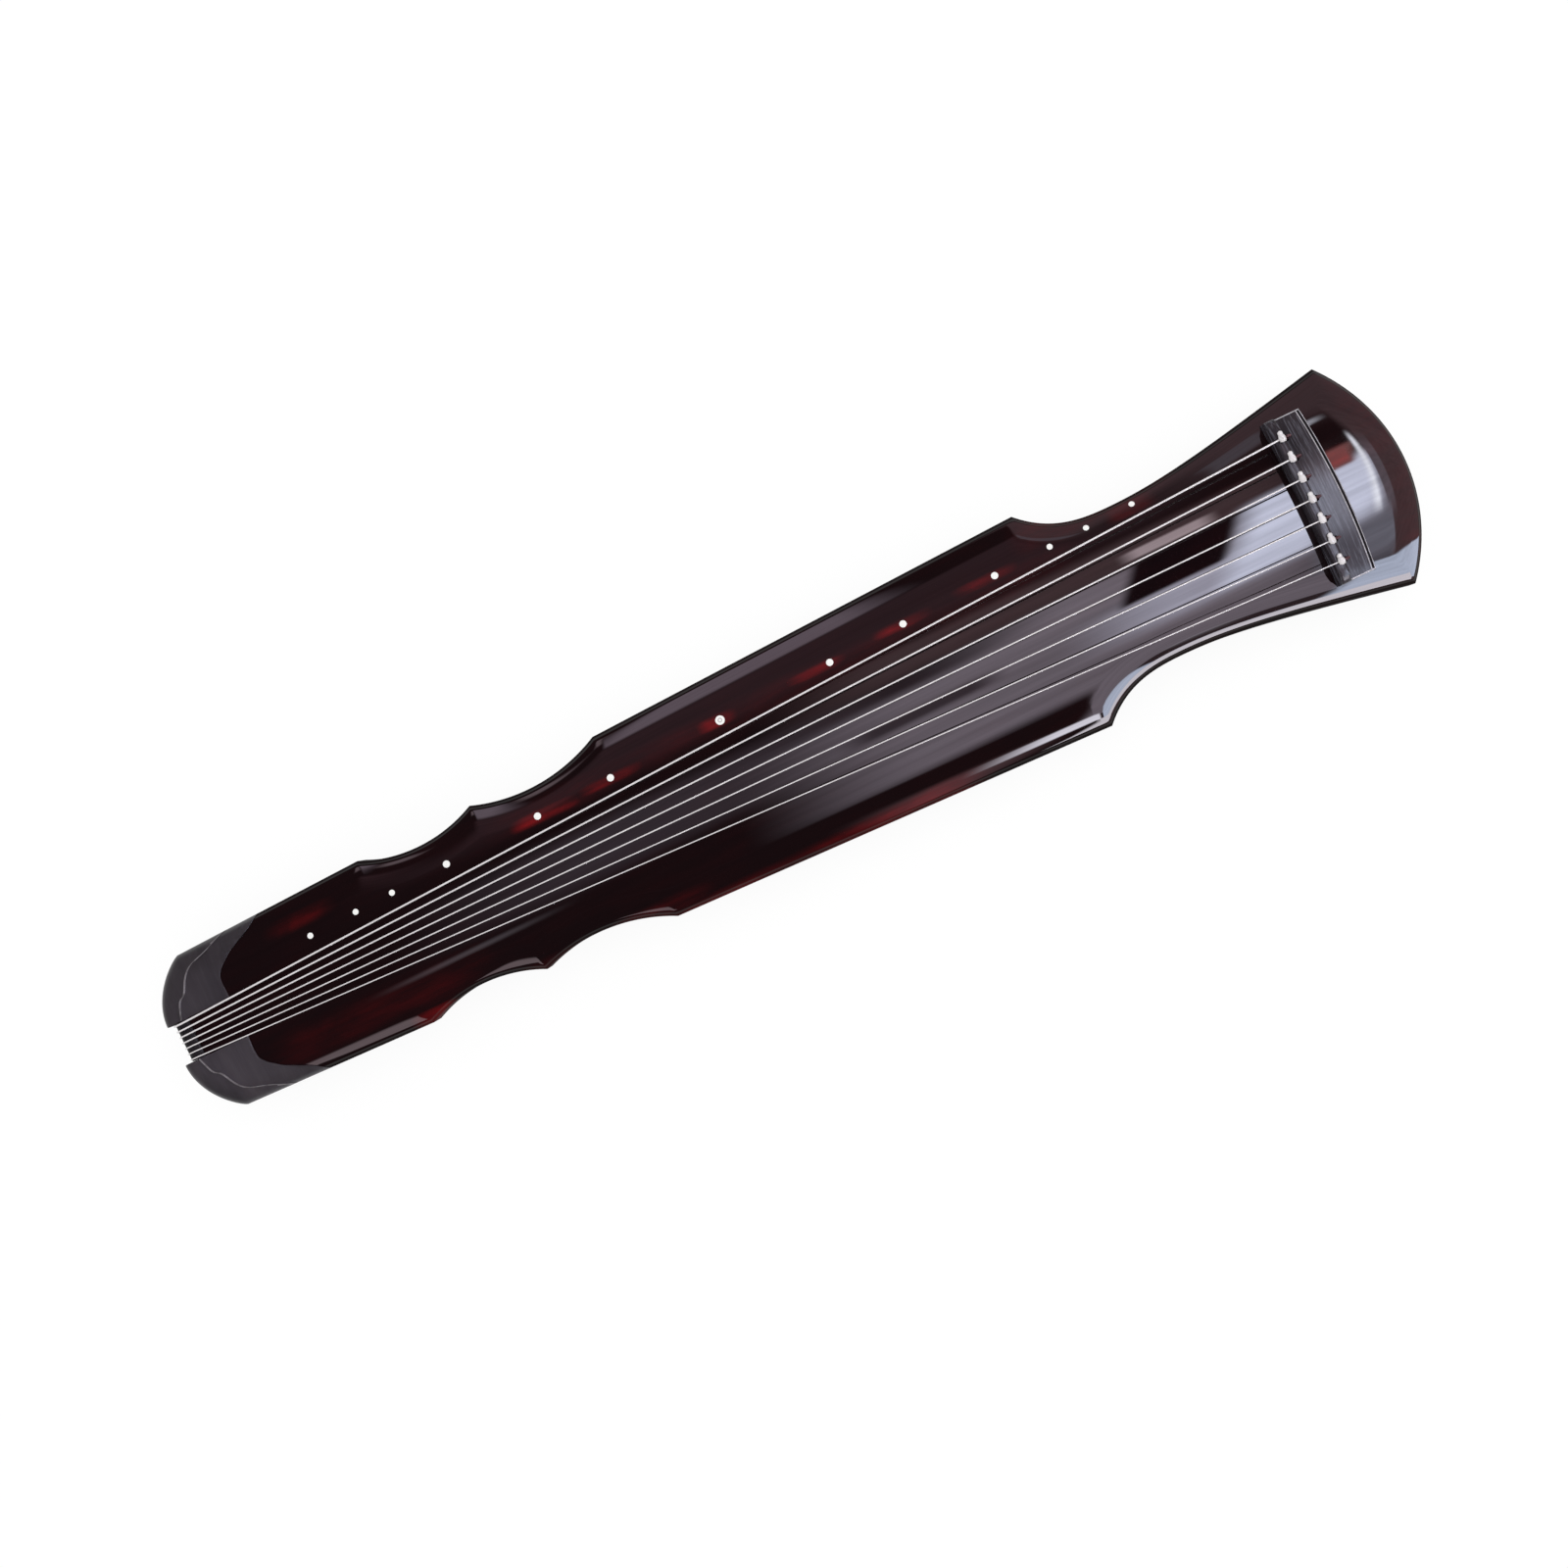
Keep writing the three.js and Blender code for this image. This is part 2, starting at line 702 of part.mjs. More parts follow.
// The notch that the strings drop through, with the seats of both nuts.
function tailCuts() {
  const outX = tailEnd - cutOverrun;
  const cut = (toX, bottom, top) => block(toX - outX, 2 * notchHalfWidth, bottom, top, (toX + outX) / 2, 0);
  return [
    cut(notchX + notchWallSetback, -cutOverrun, crownTop + cutOverrun),
    cut(nutBackX + seatGap, nutFloor - seatGap, crownTop + cutOverrun),
    cut(nutBackX + seatGap, -cutOverrun, lowerNutTop + seatGap),
  ];
}

// A plan between the outline and an inner edge given as shares of its reach and half width.
function tailPlan(shares, reach) {
  const wallY = notchHalfWidth + seatGap;
  const outerY = tailHalfWidth + cutOverrun;
  const inner = shares.map(([along, across]) => new THREE.Vector2(
    tailEnd + along * reach, Math.max(across * tailHalfWidth, wallY)));
  const farX = inner[inner.length - 1].x;
  return [
    new THREE.Vector2(tailEnd - cutOverrun, wallY),
    ...inner,
    new THREE.Vector2(farX, outerY),
    new THREE.Vector2(tailEnd - cutOverrun, outerY),
  ];
}

const trimPlan = tailPlan(trimEdgeShares, trimReach);
const ridgePlan = tailPlan(ridgeLineShares, ridgeReach);

function mirrored(points) {
  return points.map((point) => new THREE.Vector2(point.x, -point.y)).reverse();
}

function tailTrim(onFarSide) {
  const place = (plan) => (onFarSide ? plan : mirrored(plan));
  const top = crownTop + cutOverrun;
  const plate = common(bodySolid(seam, trimRise), prism(place(trimPlan), trimFloor, top));
  const ridge = common(bodySolid(seam, trimRise + trimRidgeRise), prism(place(ridgePlan), trimFloor, top));
  return join([plate, ridge]);
}

function trimPocket(onFarSide) {
  const plan = grown(trimPlan, seatGap);
  return prism(onFarSide ? plan : mirrored(plan), trimFloor - seatGap, crownTop + cutOverrun);
}

// Marker studs, let into the surface and tilted with it

function studPlaces() {
  return studShares.map((share, i) => {
    const x = bridgeX - share * stringLength;
    const stringY = THREE.MathUtils.lerp(stringSpanAtBridge, stringSpanAtNut, share) / 2;
    const y = stringY + THREE.MathUtils.lerp(studOffsetAtBridge, studOffsetAtNut, share);
    return { x, y, radius: studDiameters[i] / 2 };
  });
}

function studDisc(place, gap, top) {
  const disc = new THREE.CylinderGeometry(
    place.radius + gap, place.radius + gap, studThickness + gap + top, studSides);
  disc.rotateX(Math.PI / 2).translate(0, 0, (top - gap - studThickness) / 2);
  const up = new THREE.Vector3(0, 0, 1);
  const tilt = new THREE.Quaternion().setFromUnitVectors(up, normalAt(place.x, place.y));
  return disc.applyQuaternion(tilt).translate(place.x, place.y, surfaceAt(place.x, place.y));
}

// Boards

function wellCut(bottom, top) {
  return block(wellWidth, 2 * wellHalfLength, bottom, top, holeX, 0);
}

function topBoard() {
  const above = crownTop + cutOverrun;
  return carve(bodySolid(seam, 0), [
    chamberSolids(),
    bridgeSlot(),
    prism(grown(stripPlan(), seatGap), inlayFloor - seatGap, above),
    wellCut(seam - cutOverrun, wellCeiling + plateThickness + seatGap),
    ...stringHoles(seam, above),
    ...tailCuts(),
    trimPocket(true),
    trimPocket(false),
    ...studPlaces().map((place) => studDisc(place, seatGap, cutOverrun)),
  ]);
}

function soundHole(x, length, width, inset, bottom, top) {
  const radius = holeCornerRadius - inset;
  return prism(roundedRectangle(length - 2 * inset, width - 2 * inset, radius, x), bottom, top);
}

function soundHoleRim(x, length, width) {
  const outside = soundHole(x, length, width, seatGap, underside, seam - seatGap);
  const inside = soundHole(x, length, width, seatGap + rimWall, underside - cutOverrun, seam + cutOverrun);
  return carve(outside, [inside]);
}

function bottomBoard() {
  const below = underside - cutOverrun;
  const above = seam + cutOverrun;
  const footHole = (y) => rod(tenonRadius + seatGap, below, above, feetX, y, holeSides);
  return carve(prism(bodyOutline, underside, seam), [
    soundHole(pondX, pondLength, pondWidth, 0, below, above),
    soundHole(poolX, poolLength, poolWidth, 0, below, above),
    wellCut(below, above),
    footHole(footY),
    footHole(-footY),
    ...tailCuts(),
  ]);
}

// Tuning pegs, bored for their cords, with a side hole at the waist

const pegBottom = pegFloorClearance;
const pegTop = wellCeiling - seatGap;
const pegLength = pegTop - pegBottom;

function peg() {
  const at = (share) => pegTop - share * pegLength;
  const pocketTop = pegBottom + pegPocketDepth;
  const body = turned([
    [pegBoreRadius, pocketTop],
    [pegPocketRadius, pocketTop],
    [pegPocketRadius, pegBottom],
    [pegEndRadius, pegBottom],
    [pegGripRadius, at(pegProfileShares.grip)],
    [(pegWaistRadius + pegGripRadius) / 2, at(pegProfileShares.swell)],
    [pegWaistRadius, at(pegProfileShares.waist)],
    [pegTopRadius, pegTop - pegTopRim],
    [pegTopRadius, pegTop],
    [pegBoreRadius, pegTop],
    [pegBoreRadius, pocketTop],
  ], pegSides);
  const sideHole = new THREE.CylinderGeometry(
    pegSideHoleRadius, pegSideHoleRadius, pegWaistRadius + cutOverrun, tubeSides);
  sideHole.rotateZ(Math.PI / 2).translate((pegWaistRadius + cutOverrun) / 2, 0, at(pegProfileShares.waist));
  return carve(body, [sideHole]);
}

function pegPlate() {
  const width = wellWidth - 2 * seatGap;
  const length = 2 * (wellHalfLength - seatGap);
  const plate = block(width, length, wellCeiling, wellCeiling + plateThickness, holeX, 0);
  return carve(plate, stringHoles(underside, crownTop));
}

// Silk cord: from behind its knot over into the string hole, down the peg, knotted below it
function silkCord(index) {
  const y = spread(stringSpanAtBridge, index);
  const top = bridgeTopAt(y);
  const startX = knotX + knotRadius + seatGap;
  const knotZ = pegBottom + pegPocketDepth - seatGap - cordKnotRadius;
  const route = [
    new THREE.Vector3(startX, y, top + seatGap + cordRadius),
    new THREE.Vector3((startX + holeX) / 2, y, top + cordRadius / 2),
    new THREE.Vector3(holeX, y, top - 2 * cordRadius),
    new THREE.Vector3(holeX, y, pegTop),
  ];
  const radii = route.map(() => cordRadius);
  for (let step = 1; step <= cordKnotSteps; step++) {
    const angle = Math.PI * (step / (cordKnotSteps + 1));
    route.push(new THREE.Vector3(holeX, y, knotZ + cordKnotRadius * Math.cos(angle)));
    radii.push(Math.max(cordKnotRadius * Math.sin(angle), cordRadius));
  }
  return tube(route, radii);
}

// Strings: from the knot over bridge and nut, under the tail and round a goose foot

const footTop = underside - seatGap;
const footNeckTop = footTop - footTopHeight;
const footNeckBottom = footSoleHeight + (footSoleRadius - footNeckRadius) / 2;

// Each foot holds its strings in bands one under the other, the outermost string on top.
// The fuller, far foot sets the gap between turns.
function windingBands() {
  const farCount = Math.ceil(stringCount / 2);
  const far = stringDiameters.slice(0, farCount).map((_, i) => i);
  const near = stringDiameters.slice(farCount).map((_, i) => stringCount - 1 - i);
  const wound = far.reduce((sum, i) => sum + stringDiameters[i] * (windingTurns + 1), 0);
  const turnGap = (footNeckTop - footNeckBottom - wound) / (farCount * (windingTurns + 1) + 1);
  const bands = [];
  [[far, 1], [near, -1]].forEach(([indices, side]) => {
    let height = footNeckTop - turnGap;
    indices.forEach((index) => {
      const diameter = stringDiameters[index];
      const start = height - diameter / 2;
      const pitch = diameter + turnGap;
      bands[index] = { side, start, pitch };
      height = start - windingTurns * pitch - diameter / 2 - turnGap;
    });
  });
  return bands;
}

const bands = windingBands();

function windingPoints(from, index) {
  const { side, start, pitch } = bands[index];
  const radius = footNeckRadius + seatGap + stringDiameters[index] / 2;
  const centre = new THREE.Vector2(feetX, side * footY);
  const toCentre = centre.clone().sub(new THREE.Vector2(from.x, from.y));
  const heading = toCentre.angle() - side * Math.asin(radius / toCentre.length());
  const firstAngle = heading - side * Math.PI / 2;
  const steps = Math.round(windingTurns * turnSteps);
  return Array.from({ length: steps + 1 }, (_, k) => {
    const turn = k / turnSteps;
    const angle = firstAngle + side * 2 * Math.PI * turn;
    return new THREE.Vector3(
      centre.x + radius * Math.cos(angle), centre.y + radius * Math.sin(angle), start - pitch * turn);
  });
}

function stringRoute(index) {
  const radius = stringDiameters[index] / 2;
  const bridgeY = spread(stringSpanAtBridge, index);
  const nutY = spread(stringSpanAtNut, index);
  const over = seatGap + radius;
  const bridgeTop = bridgeTopAt(bridgeY);
  const nutBend = quarterRound(notchX + nutRound, nutTop - nutRound, nutRound + over, Math.PI / 2);
  const lowerBend = quarterRound(
    notchX + lowerNutRound, lowerNutBottom + lowerNutRound, lowerNutRound + over, Math.PI);
  const tailPoints = [...nutBend, ...lowerBend].map(([x, z]) => new THREE.Vector3(x, nutY, z));
  const leaving = tailPoints[tailPoints.length - 1];
  return [
    new THREE.Vector3(knotX, bridgeY, bridgeTop + over),
    new THREE.Vector3(bridgeX, bridgeY, bridgeTop + over),
    ...tailPoints,
    ...windingPoints(leaving, index),
  ];
}

// The least clear space between two turns of one string, measured on its points.
function leastSelfGap(points, diameter) {
  const apart = turnSteps / 2;
  let least = Infinity;
  points.forEach((point, i) => {
    points.slice(i + apart).forEach((other) => {
      least = Math.min(least, point.distanceTo(other) - diameter);
    });
  });
  return least;
}

function lobe(radii, centre) {
  return new THREE.SphereGeometry(1, knotAcross, knotAround).scale(...radii).translate(...centre);
}

function stringWithKnot(index) {
  const route = stringRoute(index);
  const diameter = stringDiameters[index];
  const gap = leastSelfGap(route.slice(-Math.round(windingTurns * turnSteps)), diameter);
  console.log(`string ${index + 1}: least gap to itself ${gap.toFixed(2)} mm`);
  const knotY = spread(stringSpanAtBridge, index);
  const knotZ = bridgeTopAt(knotY) + knotRise;
  const knot = lobe([knotRadius, knotHalfLength, knotHalfHeight], [knotX, knotY, knotZ]);
  const knotTail = lobe(
    [knotTailRadius, knotTailLength, knotTailRadius],
    [knotX, knotY + knotHalfLength + knotTailReach, knotZ]);
  return join([tube(route, route.map(() => diameter / 2)), knot, knotTail]);
}

// Feet and guards

function gooseFoot() {
  return turned([
    [0, 0],
    [footSoleRadius, 0],
    [footSoleRadius, footSoleHeight],
    [footNeckRadius, footNeckBottom],
    [footNeckRadius, footNeckTop],
    [footTopRadius, footTop],
    [tenonRadius, footTop],
    [tenonRadius, underside + tenonLength],
    [0, underside + tenonLength],
  ], footSides);
}

function footBlock() {
  const bottom = seam + seatGap;
  const whole = block(footBlockLength, footBlockWidth, bottom, bottom + footBlockHeight, 0, 0);
  return carve(whole, [rod(tenonRadius + seatGap, underside, crownTop, 0, 0, footSides)]);
}

// A guard's side view: full length under the board, shorter and rounded where it meets the table.
function pegGuard() {
  const low = guardFootLength / 2 - guardCornerRadius;
  const high = guardLength / 2;
  const corner = (sign) => Array.from({ length: cornerSteps + 1 }, (_, k) => {
    const angle = Math.PI / 2 * k / cornerSteps;
    return new THREE.Vector2(
      sign * (low + guardCornerRadius * Math.sin(angle)), guardCornerRadius * (1 - Math.cos(angle)));
  });
  const outline = [
    ...corner(-1).reverse(),
    ...corner(1),
    new THREE.Vector2(high, underside - guardCornerRadius),
    new THREE.Vector2(high, underside - seatGap),
    new THREE.Vector2(-high, underside - seatGap),
    new THREE.Vector2(-high, underside - guardCornerRadius),
  ];
  return prism(outline, -guardThickness / 2, guardThickness / 2).rotateX(Math.PI / 2);
}

// Sound posts stand on the bottom board and reach the roof of the chamber

function post(x, round) {
  const bottom = seam + seatGap;
  const top = surfaceAt(x, postWidth / 2) - topThickness - seatGap;
  if (round) {
    return rod(postWidth / 2, bottom, top, x, 0, footSides);
  }
  return block(postWidth, postWidth, bottom, top, x, 0);
}

// Assembly

addPiece("top_board", topBoard(), lacquer);
addPiece("bottom_board", bottomBoard(), lacquer);
addPiece("bridge", bridge(), hardwood);
addPiece("bridge_strip", strip(), hardwood);
addPiece("tail_nut", tailNut(), hardwood);
addPiece("lower_nut", lowerNut(), hardwood);
addPiece("tail_trim_far", tailTrim(true), hardwood);
addPiece("tail_trim_near", tailTrim(false), hardwood);
addPiece("peg_plate", pegPlate(), hardwood);
addPiece("dragon_pond_rim", soundHoleRim(pondX, pondLength, pondWidth), hardwood);
addPiece("phoenix_pool_rim", soundHoleRim(poolX, poolLength, poolWidth), hardwood);
addPiece("round_sound_post", post(pondX + pondLength / 2 + roundPostFromPond, true), bareWood);
addPiece("square_sound_post", post(pondX - pondLength / 2 - squarePostFromPond, false), bareWood);

[["far", 1], ["near", -1]].forEach(([sideName, side]) => {
  addPiece(`goose_foot_${sideName}`, gooseFoot(), hardwood).position.set(feetX, side * footY, 0);
  addPiece(`foot_block_${sideName}`, footBlock(), bareWood).position.set(feetX, side * footY, 0);
  addPiece(`peg_guard_${sideName}`, pegGuard(), hardwood).position.set(holeX, side * guardY, 0);
});

studPlaces().forEach((place, i) => {
  addPiece(`stud_${i + 1}`, studDisc(place, 0, 0), pearl);
});

stringDiameters.forEach((_, i) => {
  addPiece(`tuning_peg_${i + 1}`, peg(), hardwood).position.set(holeX, spread(stringSpanAtBridge, i), 0);
  addPiece(`silk_cord_${i + 1}`, silkCord(i), cordSilk);
  addPiece(`string_${i + 1}`, stringWithKnot(i), stringSilk);
});

export default guqin;
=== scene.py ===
import math

import bpy
import numpy as np
from mathutils import Matrix, Vector


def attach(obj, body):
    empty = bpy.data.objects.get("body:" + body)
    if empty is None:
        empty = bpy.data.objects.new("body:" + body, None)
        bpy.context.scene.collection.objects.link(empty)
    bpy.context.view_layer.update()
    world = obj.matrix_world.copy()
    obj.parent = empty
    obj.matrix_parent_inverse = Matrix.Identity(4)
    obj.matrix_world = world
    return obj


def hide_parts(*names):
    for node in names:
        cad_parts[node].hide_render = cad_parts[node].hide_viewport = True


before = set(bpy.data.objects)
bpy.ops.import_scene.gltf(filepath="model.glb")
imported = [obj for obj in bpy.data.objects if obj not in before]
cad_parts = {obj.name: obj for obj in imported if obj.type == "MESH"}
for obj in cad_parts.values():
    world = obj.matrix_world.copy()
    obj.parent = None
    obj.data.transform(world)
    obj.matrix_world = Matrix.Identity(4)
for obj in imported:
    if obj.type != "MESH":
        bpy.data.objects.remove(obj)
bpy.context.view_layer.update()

# Camera. It looks almost straight down on the instrument from 1.76 m, with the head toward
# the upper right.
lens = bpy.data.cameras.new("studio_camera")
lens.sensor_width, lens.lens, lens.clip_end = 36, 42.66, 50
camera = bpy.data.objects.new("studio_camera", lens)
bpy.context.scene.collection.objects.link(camera)
view = Matrix.Translation((0.0133, -0.0450, 1.7574))
for degrees, axis in ((0.709, "X"), (0.960, "Y"), (-25.69, "Z")):
    view = view @ Matrix.Rotation(math.radians(degrees), 4, axis)
camera.matrix_world = view
bpy.context.scene.camera = camera

# Soundboard. One long plank of light wood, hollowed from below, arched on top and falling
# away in a rim all round. It is built up with dark lacquer that is rubbed to a high gloss,
# under which red-brown coats glow through.
tail_end, head_end = -0.62, 0.62
seam, crown_top = 0.039, 0.082
arch_radius = 0.45
head_run, head_fall = 0.42, 0.008745
tail_run, tail_fall = 0.27, 0.004106
rim_width, rim_fall, edge_round = 0.026, 0.006, 0.005
notch_half_width = 0.0189
tail_corner, first_corner = (-0.585, 0.0756), (-0.398, 0.0818)
cusp, last_corner = (-0.2832, 0.0828), (-0.1545, 0.0908)
shoulder, neck = (0.2775, 0.1059), (0.361, 0.0753)
head_arc_centre, head_arc_radius, head_half_width = 0.44, 0.18, 0.1087
head_corner = (head_arc_centre + math.sqrt(head_arc_radius ** 2 - head_half_width ** 2),
               head_half_width)
chamber_start, chamber_end, wall, top_thickness = -0.4905, 0.3305, 0.016, 0.009
pond_x, pool_x, mound_width, mound_height = 0.1095, -0.415, 0.034, 0.008
well_x, well_width, well_half_length, well_roof = 0.528, 0.028, 0.0746, 0.0523
slack, overlap, above_all = 0.0003, 0.005, 0.1


def free_curve(start, end, shares, steps=24):
    """A curve between two corners, with handles as shares of its own length and width."""
    start, end = np.array(start), np.array(end)
    handles = [start + (end - start) * np.array(share) for share in shares]
    t = np.linspace(0, 1, steps + 1)[:, None]
    return ((1 - t) ** 3 * start + 3 * (1 - t) ** 2 * t * handles[0]
            + 3 * (1 - t) * t ** 2 * handles[1] + t ** 3 * end)


def hollow_curve(start, end, depth, steps=32):
    """A round hollow between two corners, sunk by depth below the straight line."""
    start, end = np.array(start), np.array(end)
    half_chord = np.linalg.norm(end - start) / 2
    radius = (half_chord ** 2 + depth ** 2) / (2 * depth)
    along = (end - start) / (2 * half_chord)
    inward = np.array([along[1], -along[0]])
    centre = (start + end) / 2 + inward * (depth - radius)
    reach = math.asin(half_chord / radius)
    t = np.linspace(-reach, reach, steps + 1)[:, None]
    return centre + radius * (inward * np.cos(t) + along * np.sin(t))


side_runs = [
    np.linspace(tail_corner, first_corner, 45),
    hollow_curve(first_corner, cusp, 0.013),
    hollow_curve(cusp, last_corner, 0.0136),
    np.linspace(last_corner, shoulder, 97),
    free_curve(shoulder, neck, [(0.311, 0.92), (0.66, 1)], 30),
    free_curve(neck, head_corner, [(0.228, 0), (0.45, 0.261)], 56),
]
side_line = np.vstack([side_runs[0]] + [run[1:] for run in side_runs[1:]])
tail_line = free_curve((tail_end, notch_half_width), tail_corner, [(0, 0.59), (0.84, 0.97)])
head_angles = np.linspace(math.asin(head_half_width / head_arc_radius), 0, 33)[1:]
head_line = np.column_stack([head_arc_centre + head_arc_radius * np.cos(head_angles),
                             head_arc_radius * np.sin(head_angles)])
far_outline = np.vstack([tail_line, side_line[1:], head_line])
body_outline = np.vstack([far_outline * [1, -1], far_outline[-2::-1]])


def inset_at(x, y):
    """The least distance from points of the plan to the body's outline."""
    nearest = np.full(x.shape, np.inf)
    for a, b in zip(body_outline, np.roll(body_outline, -1, axis=0)):
        side = b - a
        if side @ side < 1e-12:
            continue
        share = np.clip(((x - a[0]) * side[0] + (y - a[1]) * side[1]) / (side @ side), 0, 1)
        nearest = np.minimum(nearest, np.hypot(x - a[0] - share * side[0], y - a[1] - share * side[1]))
    return nearest


def surface_at(x, y, inset):
    """Height of the playing surface, before its outer edge is rounded."""
    toward_head = head_fall * (np.maximum(head_run - (head_end - x), 0) / head_run) ** 2
    toward_tail = tail_fall * (np.maximum(tail_run - (x - tail_end), 0) / tail_run) ** 2
    rim = rim_fall * (np.maximum(rim_width - inset, 0) / rim_width) ** 2
    return crown_top - toward_head - toward_tail - y ** 2 / (2 * arch_radius) - rim


class Field:
    """A socket of a node tree that can be added, multiplied and so on like a number."""

    def __init__(self, tree, socket):
        self.tree = tree
        self.socket = socket

    def math(self, operation, *values):
        return self.tree.node("ShaderNodeMath", dict(enumerate(values)), operation=operation)

    def __add__(self, other):
        return self.math("ADD", self, other)

    def __radd__(self, other):
        return self.math("ADD", other, self)

    def __sub__(self, other):
        return self.math("SUBTRACT", self, other)

    def __rsub__(self, other):
        return self.math("SUBTRACT", other, self)

    def __mul__(self, other):
        return self.math("MULTIPLY", self, other)

    def __rmul__(self, other):
        return self.math("MULTIPLY", other, self)

    def __truediv__(self, other):
        return self.math("DIVIDE", self, other)

    def __pow__(self, other):
        return self.math("POWER", self, other)

    def at_least(self, other):
        return self.math("MAXIMUM", self, other)

    def between(self, low, high, **settings):
        """0 below low, 1 above high, and an even slope between them."""
        return self.tree.node("ShaderNodeMapRange", {"Value": self, "From Min": low, "From Max": high},
                              clamp=True, **settings)

    def also(self, output):
        """Another output of the same node."""
        return Field(self.tree, self.socket.node.outputs[output])

    def axes(self):
        """The x, y and z parts of a vector."""
        x = self.tree.node("ShaderNodeSeparateXYZ", {"Vector": self})
        return x, x.also("Y"), x.also("Z")


class Tree:
    """A node tree that is written as expressions on its fields."""

    def __init__(self, tree):
        self.tree = tree
        tree.nodes.clear()

    def node(self, kind, inputs=None, output=0, stops=(), **settings):
        """Makes a node, with its settings and a ramp's stops set before its inputs.

        A list among the inputs goes into one socket, in that order."""
        node = self.tree.nodes.new(kind)
        for name, value in settings.items():
            setattr(node, name, value)
        for k, (share, colour) in enumerate(stops):
            points = node.color_ramp.elements
            point = points[k] if k < len(points) else points.new(1)
            point.position, point.color = share, (*colour, 1)
        for name, value in (inputs or {}).items():
            for part in value if isinstance(value, list) else [value]:
                if isinstance(part, Field):
                    self.tree.links.new(part.socket, node.inputs[name])
                else:
                    node.inputs[name].default_value = part
        return Field(self, node.outputs[output]) if node.outputs else node

    def place(self, kind="Object"):
        return self.node("ShaderNodeTexCoord", None, kind)

    def noise(self, stretch, detail, roughness, distortion=0.0):
        """Noise over the piece, with each axis stretched by its own factor."""
        place = self.node("ShaderNodeMapping", {"Vector": self.place(), "Scale": stretch})
        return self.node("ShaderNodeTexNoise", {"Vector": place, "Scale": 1.0, "Detail": detail,
                                                "Roughness": roughness, "Distortion": distortion})

    def blend(self, share, *colours):
        """The first colour where the share is 0, the second where it is 1."""
        first, second = [(*c, 1) if isinstance(c, tuple) else c for c in colours]
        return self.node("ShaderNodeMix", {0: share, 6: first, 7: second}, 2, data_type="RGBA")

    def patch(self, low_x, high_x, low_y, high_y, soft_x, soft_y, lean=0.0):
        """1 inside a soft-edged patch seen from above, 0 outside; its ends lean with y."""
        x, y, _ = self.place().axes()
        share = 1.0
        for value, low, high, soft in ((x - lean * y, low_x, high_x, soft_x / 2),
                                       (y, low_y, high_y, soft_y / 2)):
            for off, on in ((low - soft, low + soft), (high + soft, high - soft)):
                share = share * value.between(off, on, interpolation_type="SMOOTHSTEP")
        return share

    def bump(self, height, strength, distance):
        inputs = {"Height": height, "Strength": strength, "Distance": distance}
        return self.node("ShaderNodeBump", inputs)

    def surface(self, **inputs):
        """The Principled shader, with its inputs given by name, as the material's surface."""
        named = {name.replace("_", " "): value for name, value in inputs.items()}
        shader = self.node("ShaderNodeBsdfPrincipled", named)
        self.node("ShaderNodeOutputMaterial", {"Surface": shader})


def finish_named(name):
    material = bpy.data.materials.new(name)
    material.use_nodes = True
    return material, Tree(material.node_tree)


def grained(name, stretch, texture, colours, dullness, relief=None, span=(0, 1), **inputs):
    """A finish whose colour, dullness and relief all follow one stretched noise."""
    material, tree = finish_named(name)
    grain = tree.noise(stretch, *texture)
    if relief:
        inputs["Normal"] = tree.bump(grain, *relief)
    tree.surface(Base_Color=tree.blend(grain.between(*span), *colours),
                 Roughness=dullness[0] + dullness[1] * grain, **inputs)
    return material


lacquer, tree = finish_named("polished_lacquer")
cloud = tree.noise((11, 26, 26), 5, 0.6, 0.6)
streak = tree.noise((9, 110, 60), 4, 0.6, 0.2)
worn = 0.008
for edges, share in (
        ((-0.26, 0.3, 0.04, 0.062, 0.1, 0.016), 0.05),
        ((-0.247, -0.196, 0.041, 0.05, 0.03, 0.006), 0.55),
        ((-0.18, -0.13, 0.044, 0.052, 0.03, 0.006), 0.4),
        ((-0.06, -0.03, 0.048, 0.058, 0.02, 0.006), 0.4),
        ((0.034, 0.078, 0.052, 0.059, 0.03, 0.006), 0.45),
        ((0.122, 0.166, 0.056, 0.063, 0.03, 0.006), 0.45),
        ((0.205, 0.25, 0.059, 0.066, 0.03, 0.006), 0.5),
        ((0.355, 0.395, 0.059, 0.073, 0.02, 0.006), 0.2),
        ((-0.53, -0.33, -0.066, -0.034, 0.06, 0.02), 0.055),
        ((-0.3, -0.13, -0.1, -0.074, 0.06, 0.012), 0.14),
        ((-0.41, -0.37, -0.084, -0.07, 0.02, 0.006), 0.22),
        ((-0.16, 0.14, -0.108, -0.088, 0.06, 0.012), 0.25),
        ((0.586, 0.63, -0.1, 0.1, 0.03, 0.03), 0.05),
        ((0.27, 0.42, 0.07, 0.1, 0.04, 0.02), 0.08),
        ((0.552, 0.572, 0.018, 0.034, 0.006, 0.008), 0.3),
        ((-0.49, -0.44, 0.05, 0.062, 0.04, 0.01), 0.16)):
    worn = (share * tree.patch(*edges)).at_least(worn)
on_top = tree.place().axes()[2].between(0.032, 0.05)
glow = ((0.3 + 0.7 * cloud.between(0.38, 0.66)) * (0.3 + 0.7 * streak.between(0.35, 0.65))
        * worn * on_top)
skin = tree.noise((16, 22, 22), 2, 0.5)
rise = tree.place("Normal").axes()[2]
grain = tree.noise((5, 150, 60), 3, 0.55, 0.3)
